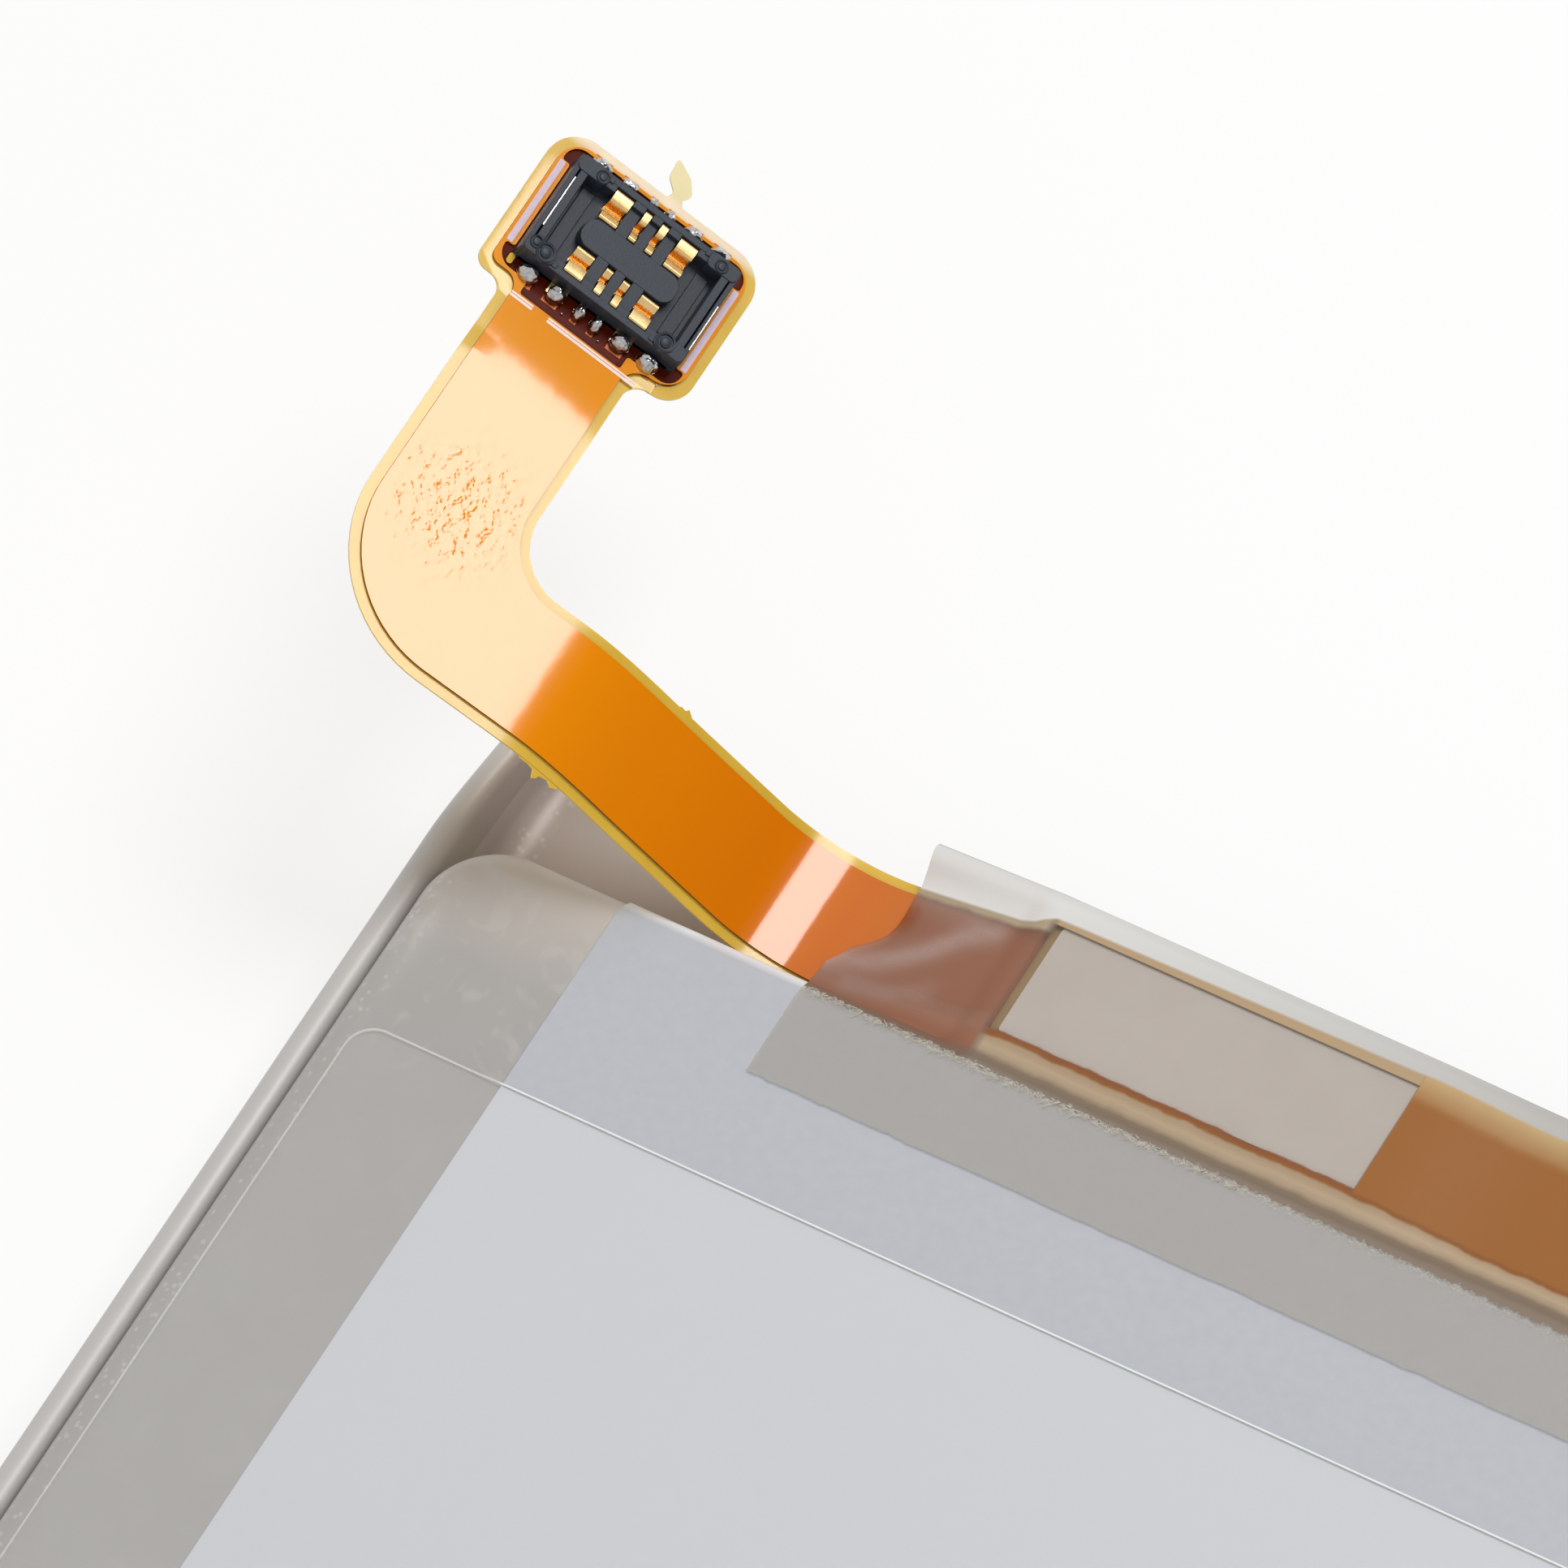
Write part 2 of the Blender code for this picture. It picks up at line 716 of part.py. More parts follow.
def contact_path(side):
    """Side view of one contact: tail, post in the wall, spring facet, floor run and inner arm."""
    wall_inner = housing_width / 2 - housing_side_wall
    half = contact_thickness / 2
    post = wall_inner + contact_thickness + clearance
    top = housing_height - contact_top_margin
    floor = housing_floor + clearance + half
    tail = half + clearance
    bend = contact_bend_radius
    corners = [
        (housing_width / 2 + contact_tail, tail, 0), (post, tail, bend), (post, top, bend),
        (post - spring_reach, top - spring_drop, bend), (post - spring_reach - contact_thickness, floor, bend),
        (island_width / 2 - contact_thickness, floor, bend),
        (island_width / 2 - 1.6 * contact_thickness, island_height - half, 0)]
    path = rounded(corners, closed=False, step=math.radians(30))
    return [(side * y, z) for y, z in path]


def make_contacts(origin):
    numbers = {"power": 0, "signal": 0}
    for side in (-1, 1):
        for place, width in zip(contact_places, contact_widths):
            kind = "power" if abs(place) == power_contact_place else "signal"
            numbers[kind] += 1
            mesh = formed_strip(contact_path(side), place, width, contact_thickness)
            contact = add_part(f"{kind}_contact_{numbers[kind]}", mesh, (0.80, 0.52, 0.16), 0.25, 1.0)
            contact.parent = origin


def make_fittings(origin):
    reach = housing_width / 2 + contact_tail
    height = contact_thickness / 2 + clearance
    for number, side in enumerate((-1, 1), start=1):
        path = [(-reach, height), (reach, height)]
        mesh = formed_strip(path, side * fitting_place, fitting_width, contact_thickness)
        fitting = add_part(f"end_fitting_{number}", mesh, (0.70, 0.70, 0.68), 0.3, 1.0)
        fitting.parent = origin


def solder_dome(middle, width, side):
    """Solder fillet on a tail, against the housing's wall."""
    shape = bmesh.new()
    bmesh.ops.create_uvsphere(shape, u_segments=14, v_segments=8, radius=0.5)
    bmesh.ops.bisect_plane(
        shape, geom=shape.verts[:] + shape.edges[:] + shape.faces[:],
        plane_co=(0, 0, 0), plane_no=(0, 0, -1), clear_outer=True, dist=1e-5)
    bmesh.ops.holes_fill(shape, edges=[edge for edge in shape.edges if edge.is_boundary])
    bmesh.ops.scale(shape, vec=(width + 2 * solder_margin, solder_length, 2 * solder_height), verts=shape.verts)
    base = contact_thickness + 2 * clearance
    centre = side * (housing_width / 2 + clearance + solder_length / 2)
    bmesh.ops.translate(shape, vec=(middle, centre, base), verts=shape.verts)
    bmesh.ops.recalc_face_normals(shape, faces=shape.faces)
    mesh = bpy.data.meshes.new("solder")
    shape.to_mesh(mesh)
    shape.free()
    return mesh


def make_solder_joints(origin):
    places = (-fitting_place, *contact_places, fitting_place)
    widths = (fitting_width, *contact_widths, fitting_width)
    number = 0
    for side in (-1, 1):
        for place, width in zip(places, widths):
            number += 1
            mesh = solder_dome(place, width, side)
            joint = add_part(f"solder_joint_{number:02d}", mesh, (0.62, 0.62, 0.62), 0.22, 1.0)
            joint.parent = origin


def make_board():
    board = block(board_left, board_right, board_front, board_back, board_bottom, board_top)
    corners = lambda edge: abs((edge.verts[0].co - edge.verts[1].co).normalized().z) > 0.9
    soften(board, board_corner_radius, corners, 2)
    add_part("protection_board", board, (0.52, 0.40, 0.22), 0.6)
    cap = rectangle(board_left, board_left + cap_length, cap_front, board_back, board_corner_radius)
    add_part("board_cap", slab([cap], cap_bottom, cap_thickness), (0.50, 0.37, 0.20), 0.55)
    patch_left = board_left + patch_side_margin
    patch_front = cap_front + patch_front_margin
    patch = rectangle(
        patch_left, patch_left + patch_length, patch_front, patch_front + patch_width, patch_corner_radius)
    add_part("marking_patch", slab([patch], patch_bottom, patch_thickness), (0.60, 0.55, 0.50), 0.7)


def make_chip(name, x, row, package, colour):
    """Chip soldered to the board's underside."""
    length, width, height = package
    y = (board_front + board_back) / 2 + row * chip_row_offset
    top = board_bottom - clearance
    mesh = block(x - length / 2, x + length / 2, y - width / 2, y + width / 2, top - height, top)
    soften(mesh, chip_edge_radius, lambda edge: True, 1)
    add_part(name, mesh, colour, 0.5)


def make_board_components():
    """Chips between, before and after the two weld plates."""
    black = (0.03, 0.03, 0.035)
    tan = (0.42, 0.30, 0.20)
    beside_plate = plate_width / 2 + chip_gap
    chip_half, switch_half, large_half, medium_half, small_half = (
        package[0] / 2 for package in (chip_package, switch_package, large_package, medium_package, small_package))
    left = board_left + chip_margin
    right = board_right - chip_margin
    make_chip("protection_chip", positive_middle + beside_plate + chip_half, 0, chip_package, black)
    make_chip("switch_pair", negative_middle - beside_plate - switch_half, 0, switch_package, black)
    make_chip("chip_fuse", left + large_half, 1, large_package, (0.55, 0.52, 0.48))
    make_chip("thermistor", left + medium_half, -1, medium_package, (0.10, 0.12, 0.10))
    make_chip("sense_resistor", positive_middle - beside_plate - medium_half, -1, medium_package, black)
    make_chip("capacitor_1", right - small_half, 1, small_package, tan)
    make_chip("capacitor_2", right - small_half, -1, small_package, tan)
    make_chip("resistor_1", negative_middle + beside_plate + small_half, 1, small_package, black)


def make_tab(name, middle, colour):
    """Cell tab from its seal pocket, bent back over the terrace to its weld plate."""
    bend = flange_end + tab_overhang
    steps = 10
    path = [(flange_end - tab_pocket_depth + clearance, flange_middle)]
    for step in range(steps + 1):
        turn = math.pi * step / steps
        rise = tab_bend_radius * (1 - math.cos(turn))
        path.append((bend + tab_bend_radius * math.sin(turn), flange_middle + rise))
    path.append((bend - tab_run, tab_end))
    add_part(f"{name}_tab", formed_strip(path, middle, tab_width, tab_thickness), colour, 0.35, 1.0)
    plate_back = board_back - plate_margin
    plate = block(
        middle - plate_width / 2, middle + plate_width / 2, plate_back - plate_length, plate_back,
        plate_top - plate_thickness, plate_top)
    add_part(f"{name}_weld_plate", plate, (0.55, 0.53, 0.50), 0.3, 1.0)
    half = tab_width / 2 + tab_film_margin
    front = flange_end + clearance
    film = block(middle - half, middle + half, front, front + tab_film_length, flange_rise, floor_top)
    slot_half = tab_width / 2 + clearance
    slot_rise = tab_thickness / 2 + clearance
    slot = block(
        middle - slot_half, middle + slot_half, front - tab_film_length, front + 2 * tab_film_length,
        flange_middle - slot_rise, flange_middle + slot_rise)
    add_part(f"{name}_tab_film", combined(film, [slot], "DIFFERENCE"), (0.30, 0.30, 0.28), 0.4)


def make_insulation_strip():
    bottom = floor_top + clearance
    front = cell_top + strip_margin
    mesh = block(board_left, board_right, front, front + strip_width, bottom, bottom + strip_thickness)
    add_part("insulation_strip", mesh, (0.75, 0.72, 0.62), 0.6)


def tape_rows():
    """The tape's side view over the board as (Y, Z) points, from its edge on the face to its edge below."""
    half = tape_thickness / 2
    cover = clearance + label_thickness + clearance + half
    radius = cell_face_radius + cover
    centre_y = cell_top - cell_face_radius
    centre_z = face - cell_face_radius
    rows = [(cell_top - tape_face_reach, face + cover)]
    for step in range(7):
        turn = math.radians(90) * step / 6
        rows.append((centre_y + radius * math.sin(turn), centre_z + radius * math.cos(turn)))
    near = cell_top + cover
    far = board_front - clearance - half
    low = board_bottom + tape_valley_rise
    middle = (low + board_top) / 2
    bend = tape_valley_radius
    rows += rounded([(near, middle, 0), (near, low, bend), (far, low, bend), (far, middle, 0)], closed=False)[1:]
    rows += [(far, board_top), (far + half, tape_top - tape_thickness), (far + 4 * half, tape_top)]
    rows += [(board_front + board_width * part, tape_top) for part in (0.25, 0.5, 0.75)]
    rows.append((strip_back - tape_thickness, tape_top))
    shoulder = tape_shoulder_radius
    for step in range(6):
        turn = math.radians(90) * step / 5
        rows.append((tape_outer - shoulder * (1 - math.sin(turn)), tape_top - shoulder * (1 - math.cos(turn))))
    bulge = flange_end + tab_overhang + tab_bend_radius + tab_thickness / 2 + clearance + half
    under = flange_rise - clearance - half
    tab_middle = flange_middle + tab_bend_radius
    rows.append((bulge, tab_middle + tab_bend_radius / 2))
    rows += rounded([
        (bulge, tab_middle, 0), (bulge, under, tape_under_radius), (flange_end - tape_under_reach, under, 0)],
        closed=False)
    return rows


def tape_left_edge(y):
    """X of the tape's free left edge: square on the cell, drawn to the right over the strip."""
    across = min(1.0, max(0.0, (y - strip_front) / (tape_outer - strip_front)))
    return cell_left + tape_left + tape_edge_slant * across * across * (3 - 2 * across)


def tape_height(x, y, z):
    """Height of the tape left of the board, where it sinks onto the falling strip."""
    distance = (board_left - x) / math.cos(flex_slope)
    if distance <= 0 or z < board_bottom or y < strip_front - 2 * tape_thickness:
        return z
    strip_x, strip_z, tilt = flex_place(distance)
    low = board_bottom + tape_valley_rise
    lift = tape_strip_lift * (z - low) / (tape_top - low)
    on_strip = strip_z + (cover_top + clearance + tape_thickness / 2) / math.cos(tilt) + lift
    if y > strip_back:
        fade = min(1.0, (y - strip_back) / (tape_outer - strip_back))
        sagged = z - tape_strip_lift * distance / board_gap * 0.4
        on_strip += (sagged - on_strip) * fade
    return z + (on_strip - z) * min(1.0, distance / tape_slide)


def tape_drop(x, y, z):
    """How far the tape lies lower where the board has no cap under it."""
    if y < board_front - 2 * tape_thickness:
        return 0.0
    past = min(1.0, max(0.0, (x - board_left - cap_length) / tape_slide))
    share = min(1.0, max(0.0, (z - tape_top + tape_shoulder_radius) / tape_shoulder_radius))
    return (patch_top - cap_bottom + clearance) * past * share


def make_terrace_tape():
    start = board_left + clearance
    cap_end = board_left + cap_length
    fixed = [start, (start + cap_end) / 2, cap_end, cap_end + tape_slide / 2, cap_end + tape_slide,
             board_right, board_right + tape_right_overhang]
    falling = 8
    shape = bmesh.new()
    grid = []
    for y, z in tape_rows():
        left = tape_left_edge(y)
        line = []
        for column in range(falling):
            x = left + (start - left) * column / falling
            line.append(shape.verts.new((x, y, tape_height(x, y, z))))
        line += [shape.verts.new((x, y, z - tape_drop(x, y, z))) for x in fixed]
        grid.append(line)
    for line, following in zip(grid, grid[1:]):
        for column in range(len(line) - 1):
            shape.faces.new((line[column], line[column + 1], following[column + 1], following[column]))
    mesh = bpy.data.meshes.new("tape")
    shape.to_mesh(mesh)
    shape.free()
    add_part("terrace_tape", thickened(mesh, tape_thickness), (0.60, 0.58, 0.55), 0.4)


clear_scene()
parts = make_collection("mobile_phone_battery")
cutters = make_collection("cutters")
make_pouch_cell()
make_label()
make_film()
make_flex()
head_origin = make_head_origin()
make_housing(head_origin)
make_contacts(head_origin)
make_fittings(head_origin)
make_solder_joints(head_origin)
make_board()
make_board_components()
make_tab("positive", positive_middle, (0.75, 0.75, 0.76))
make_tab("negative", negative_middle, (0.55, 0.53, 0.50))
make_insulation_strip()
make_terrace_tape()
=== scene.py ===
"""Studio scene of a mobile phone's lithium polymer battery.

The battery lies on its back: X runs across the cell, Y along it towards the terrace with the
protection board, Z out of the labelled face. All sizes are in metres.
"""
import math

import bmesh
import bpy
from mathutils import Matrix, Vector, noise


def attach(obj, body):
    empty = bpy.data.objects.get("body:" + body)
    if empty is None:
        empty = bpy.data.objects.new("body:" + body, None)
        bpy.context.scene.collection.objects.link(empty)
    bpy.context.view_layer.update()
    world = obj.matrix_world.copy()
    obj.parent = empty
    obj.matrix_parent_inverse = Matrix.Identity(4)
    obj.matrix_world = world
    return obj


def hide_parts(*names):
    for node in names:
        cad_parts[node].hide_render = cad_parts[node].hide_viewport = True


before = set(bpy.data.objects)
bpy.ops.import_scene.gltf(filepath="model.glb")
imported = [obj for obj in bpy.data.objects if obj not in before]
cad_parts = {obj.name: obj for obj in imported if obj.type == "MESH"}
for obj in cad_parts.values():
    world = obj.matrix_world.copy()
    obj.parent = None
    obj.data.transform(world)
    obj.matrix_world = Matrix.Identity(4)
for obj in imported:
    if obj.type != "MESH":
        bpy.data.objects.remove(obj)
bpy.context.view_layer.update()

bl_info = {
    "name": "Mobile phone battery",
    "version": (1, 0, 0),
    "blender": (4, 5, 0),
    "location": "3D View > Sidebar > Battery",
    "description": "Builds a lithium polymer phone battery with its flexible circuit and connector",
    "category": "Add Mesh",
}

mm = 0.001
clearance = 0.012 * mm

# Pouch cell
half_width = 21.5 * mm
half_length = 43.25 * mm
face = 2.9 * mm
plan_radius = 1.6 * mm
face_radius = 0.6 * mm
back_radius = 0.25 * mm
floor_top = 0.3 * mm
floor_thickness = 0.2 * mm
flange_end = half_length + 3.45 * mm
roll_inner = half_width + 0.14 * mm
roll_outer = half_width + 0.76 * mm
roll_height = 2.35 * mm
roll_lean = 0.3 * mm
roll_lean_start = half_length - 0.3 * mm
roll_lean_length = 3.75 * mm
fence_top = 1.9 * mm

# Label and clear film
label_half = 17.65 * mm
label_front = -39.25 * mm
label_thickness = 0.05 * mm
film_half = 20.85 * mm
film_front = -41.05 * mm
film_back = 38.6 * mm
film_radius = 0.6 * mm
film_thickness = 0.04 * mm
film_rim = 0.032 * mm

# Protection board
board_left = -10.05 * mm
board_right = 13.35 * mm
board_front = 43.62 * mm
board_back = 46.5 * mm
board_bottom = 1.53 * mm
patch_left = -9.85 * mm
patch_right = -2.02 * mm
patch_front = 43.85 * mm
patch_back = 46.35 * mm
patch_bottom = 2.728 * mm
patch_thickness = 0.05 * mm
patch_radius = 0.1 * mm

# Flexible circuit: distances run leftwards from the board along the strip
flex_middle = 2.472 * mm
flex_base_thickness = 0.06 * mm
flex_cover_thickness = 0.06 * mm
flex_slope = math.radians(-13)
flex_rise = math.radians(48)
flex_top_slope = math.radians(33)
flex_slope_length = 3.125 * mm
flex_valley_radius = 3.2 * mm
flex_shortcut = 0.254 * mm
flex_shortcut_length = 9 * mm
flex_rise_length = 2.825 * mm
flex_crest_radius = 9 * mm
strip_front = 43.42 * mm
strip_back = 46.35 * mm
arm_left = -17.02 * mm
arm_right = -13.92 * mm

# Head of the flexible circuit and its connector
head_middle = -15.306 * mm
head_length = 4.86 * mm
head_front = 51.01 * mm
head_back = 54.47 * mm
head_centre = (head_front + head_back) / 2
housing_length = 3.81 * mm
housing_width = 2.34 * mm

# Tape over the terrace
tape_thickness = 0.05 * mm
tape_top = 2.815 * mm
tape_left = -13.6 * mm
tape_right = 13.95 * mm
tape_outer = 47.138 * mm
tape_shoulder = 0.55 * mm
tape_overlap = 2.35 * mm
tape_sag = 0.09 * mm

# Line across the label where the tape's glue ends
adhesion_left = -13.4 * mm
adhesion_length = 9.5 * mm
adhesion_middle = 42.95 * mm


def tone(value):
    """Linear colour of an sRGB hex value; grey levels and other colours are linear already."""
    if isinstance(value, float):
        return (value, value, value, 1.0)
    if not isinstance(value, str):
        return value
    parts = [int(value[place:place + 2], 16) / 255 for place in (0, 2, 4)]
    linear = [part / 12.92 if part <= 0.04045 else ((part + 0.055) / 1.055) ** 2.4 for part in parts]
    return (*linear, 1.0)


def add_node(tree, kind, inputs=None, **settings):
    """Add a node with its settings; its inputs are constants or other nodes' outputs."""
    node = tree.nodes.new(kind)
    for name, value in settings.items():
        setattr(node, name, value)
    for socket, value in (inputs or {}).items():
        if isinstance(value, bpy.types.NodeSocket):
            tree.links.new(value, node.inputs[socket])
        else:
            node.inputs[socket].default_value = value
    return node


# Settings a user would change

class CellSettings(bpy.types.PropertyGroup):
    wrinkle_depth: bpy.props.FloatProperty(
        name="Wrinkle depth", description="Depth of the pouch's broad wrinkles",
        default=0.03 * mm, min=0, unit="LENGTH")
    roll_waviness: bpy.props.FloatProperty(
        name="Roll waviness", description="How far the folded side seams wander",
        default=0.02 * mm, min=0, unit="LENGTH")
    pouch_colour: bpy.props.FloatVectorProperty(
        name="Pouch colour", description="Colour of the aluminium laminate", subtype="COLOR",
        size=4, min=0, max=1, default=tone("B0AEAC"))
    label_colour: bpy.props.FloatVectorProperty(
        name="Label colour", description="Colour of the bare label", subtype="COLOR",
        size=4, min=0, max=1, default=tone("BABDC4"))


class FlexSettings(bpy.types.PropertyGroup):
    amber: bpy.props.FloatVectorProperty(
        name="Amber", description="Colour of the cover film", subtype="COLOR",
        size=4, min=0, max=1, default=tone("F09810"))
    border: bpy.props.FloatVectorProperty(
        name="Border", description="Colour of the bare polyimide border", subtype="COLOR",
        size=4, min=0, max=1, default=tone("E6C150"))
    border_width: bpy.props.FloatProperty(
        name="Border width", description="Bare border round the cover film",
        default=0.22 * mm, min=0.05 * mm, unit="LENGTH")


class ConnectorSettings(bpy.types.PropertyGroup):
    housing_colour: bpy.props.FloatVectorProperty(
        name="Housing colour", description="Colour of the moulded housing", subtype="COLOR",
        size=4, min=0, max=1, default=tone("353C47"))
    edge_radius: bpy.props.FloatProperty(
        name="Edge radius", description="Rounding of the moulded edges",
        default=0.014 * mm, min=0.001 * mm, unit="LENGTH")


class TapeSettings(bpy.types.PropertyGroup):
    bristles: bpy.props.IntProperty(
        name="Bristles", description="Number of torn glue threads along the line of adhesion",
        default=170, min=0)
    bristle_length: bpy.props.FloatProperty(
        name="Bristle length", description="Length of the longest glue thread",
        default=0.22 * mm, min=0, unit="LENGTH")


class StageSettings(bpy.types.PropertyGroup):
    key_radiance: bpy.props.FloatProperty(
        name="Softbox strength", description="Brightness of the softbox", default=9.6, min=0)
    fill_strength: bpy.props.FloatProperty(
        name="Fill strength", description="Brightness of the even light around",
        default=0.7, min=0)


# Shapes

def rounded(corners, closed=True, step=math.radians(10)):
    """Points of a polygon or path whose corners (x, y, radius) become arcs."""
    points = []
    count = len(corners)
    for index, (x, y, radius) in enumerate(corners):
        corner = Vector((x, y))
        inner = 0 < index < count - 1
        if radius == 0 or not (closed or inner):
            points.append((x, y))
            continue
        way_in = (Vector(corners[index - 1][:2]) - corner).normalized()
        way_out = (Vector(corners[(index + 1) % count][:2]) - corner).normalized()
        angle = way_in.angle(way_out)
        if math.pi - angle < 1e-3:
            points.append((x, y))
            continue
        reach = radius / math.tan(angle / 2)
        centre = corner + (way_in + way_out).normalized() * (radius / math.sin(angle / 2))
        start = corner + way_in * reach - centre
        turn = math.pi - angle
        side = 1 if way_in.cross(way_out) < 0 else -1
        pieces = max(2, round(turn / step))
        for piece in range(pieces + 1):
            spoke = start.copy()
            spoke.rotate(Matrix.Rotation(side * turn * piece / pieces, 2))
            points.append(tuple(centre + spoke))
    return points


def rectangle(left, right, front, back, radius=0.0):
    corners = ((left, front), (right, front), (right, back), (left, back))
    return rounded([(x, y, radius) for x, y in corners])


def slab(outlines, bottom, thickness):
    """Mesh of flat outlines, the first one solid and the others its holes."""
    # The curve's fill joins points closer than a few hundredths of a unit, so it is drawn in millimetres
    drawn = 1000
    curve = bpy.data.curves.new("outline", "CURVE")
    curve.dimensions = "2D"
    curve.fill_mode = "BOTH"
    curve.extrude = thickness * drawn / 2
    for outline in outlines:
        spline = curve.splines.new("POLY")
        spline.points.add(len(outline) - 1)
        for point, (x, y) in zip(spline.points, outline):
            point.co = (x * drawn, y * drawn, 0, 1)
        spline.use_cyclic_u = True
    carrier = bpy.data.objects.new("outline", curve)
    mesh = bpy.data.meshes.new_from_object(carrier)
    bpy.data.objects.remove(carrier)
    bpy.data.curves.remove(curve)
    shape = bmesh.new()
    shape.from_mesh(mesh)
    bmesh.ops.remove_doubles(shape, verts=shape.verts, dist=1e-4)
    bmesh.ops.dissolve_limit(shape, angle_limit=0.01, verts=shape.verts, edges=shape.edges)
    bmesh.ops.recalc_face_normals(shape, faces=shape.faces)
    shape.to_mesh(mesh)
    shape.free()
    mesh.transform(Matrix.Translation((0, 0, bottom + thickness / 2)) @ Matrix.Scale(1 / drawn, 4))
    return mesh


def finished(shape, name):
    """New mesh of a finished shape, which is freed."""
    mesh = bpy.data.meshes.new(name)
    shape.to_mesh(mesh)
    shape.free()
    return mesh


def evaluated(mesh, settings):
    """Mesh after one or more modifiers, each given as its type and its settings."""
    carrier = bpy.data.objects.new("carrier", mesh)
    bpy.context.scene.collection.objects.link(carrier)
    for kind, values in settings:
        modifier = carrier.modifiers.new(kind.title(), kind)
        for name, value in values.items():
            setattr(modifier, name, value)
    graph = bpy.context.evaluated_depsgraph_get()
    result = bpy.data.meshes.new_from_object(carrier.evaluated_get(graph))
    bpy.data.objects.remove(carrier)
    return result


def outward(mesh):
    """Merge doubled points and turn all faces of a closed mesh outwards."""
    shape = bmesh.new()
    shape.from_mesh(mesh)
    bmesh.ops.remove_doubles(shape, verts=shape.verts, dist=1e-7)
    bmesh.ops.recalc_face_normals(shape, faces=shape.faces)
    shape.to_mesh(mesh)
    shape.free()
    return mesh


def thickened(mesh, thickness, offset=0.0):
    """Closed sheet of even thickness from an open surface."""
    values = {"thickness": thickness, "offset": offset, "use_even_offset": True}
    return outward(evaluated(mesh, [("SOLIDIFY", values)]))


def grid_mesh(rows):
    """Open surface through rows of points."""
    shape = bmesh.new()
    lines = [[shape.verts.new(point) for point in row] for row in rows]
    for line, following in zip(lines, lines[1:]):
        for column in range(len(line) - 1):
            after = column + 1
            shape.faces.new((line[column], line[after], following[after], following[column]))
    return finished(shape, "surface")


def copy_of(node):
    """Merged copy of a CAD node's mesh, its flat faces joined."""
    shape = bmesh.new()
    shape.from_mesh(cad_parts[node].data)
    bmesh.ops.remove_doubles(shape, verts=shape.verts, dist=1e-7)
    bmesh.ops.dissolve_limit(shape, angle_limit=0.01, verts=shape.verts, edges=shape.edges)
    return finished(shape, node)


def softened(node, width, angle):
    """Copy of a CAD node with its edges rounded where they turn by more than an angle in degrees."""
    rounding = {"width": width, "segments": 2, "limit_method": "ANGLE", "angle_limit": math.radians(angle)}
    return evaluated(copy_of(node), [("BEVEL", rounding)])


def joined(meshes):
    """One mesh of several."""
    shape = bmesh.new()
    for mesh in meshes:
        shape.from_mesh(mesh)
    return finished(shape, "joined")


def spread(start, end, first, last):
    """Numbers from start to end whose gaps grow from first to last."""
    count = max(2, round(2 * (end - start) / (first + last)))
    ratio = (last / first) ** (1 / count)
    gaps = [ratio ** index for index in range(count)]
    scale = (end - start) / sum(gaps)
    places = [start]
    for gap in gaps:
        places.append(places[-1] + gap * scale)
    return places[1:]


def show(name, mesh, finishes, nodes=(), sharp=35, flat=False):
    """Put a finished mesh in the scene as a piece that rides on the battery, in place of its CAD nodes."""
    mesh.name = name
    if mesh.materials:
        mesh.materials.clear()
    for finish in finishes if isinstance(finishes, tuple) else (finishes,):
        mesh.materials.append(finish)
    if flat:
        mesh.shade_flat()
    else:
        mesh.shade_smooth()
        mesh.set_sharp_from_angle(angle=math.radians(sharp))
    piece = bpy.data.objects.new(name, mesh)
    bpy.context.scene.collection.objects.link(piece)
    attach(piece, "root")
    if nodes:
        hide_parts(*nodes)


def dress(node, finish):
    """Give a CAD node that is shown as it is a finer material."""
    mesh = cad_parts[node].data
    if not mesh.materials:
        mesh.materials.append(finish)
    for index in range(len(mesh.materials)):
        mesh.materials[index] = finish


def smoothstep(value):
    value = min(1.0, max(0.0, value))
    return value * value * (3 - 2 * value)


def ripple(x, y, size, seed=0):
    """Smooth noise between -1 and 1 with waves of one size."""
    return noise.noise(Vector((x / size, y / size, seed)))


# Relief of the cell's face, shared by the pouch, the label and the films on it

def relief(x, y):
    """Depth of the face below its plane: broad undulations with small ones on them."""
    depth = bpy.context.scene.battery_cell.wrinkle_depth
    broad, small = 8 * mm, 3 * mm
    return depth * (0.25 + 0.25 * ripple(x, y, broad) + 0.10 * ripple(x, y, small, 4))


def corner_relief(x, y):
    """Extra depth near the terrace corners: drawn dimple and soft folds that fan out from the corner."""
    dimple_depth, dimple_along, dimple_across, dimple_radius = 0.13 * mm, 2.1 * mm, 0.9 * mm, 1.1 * mm
    fold_depth, fold_count, fold_reach, fold_start = 0.07 * mm, 9, 3.6 * mm, 1.2 * mm
    side = abs(x)
    along = half_length - y
    across = half_width - side
    away = (along - dimple_along) ** 2 + (across - dimple_across) ** 2
    dimple = dimple_depth * math.exp(-away / dimple_radius ** 2)
    angle = math.atan2(across, along + 1e-9)
    fan = 0.5 + 0.5 * math.sin(fold_count * angle + 2.5 * ripple(x, y, 2.5 * mm, 2))
    fading = math.exp(-math.hypot(along, across) / fold_reach)
    folds = fold_depth * fan * fading * smoothstep(across / fold_start)
    return (dimple + folds) * smoothstep((side - label_half) / (0.8 * mm))


# Materials

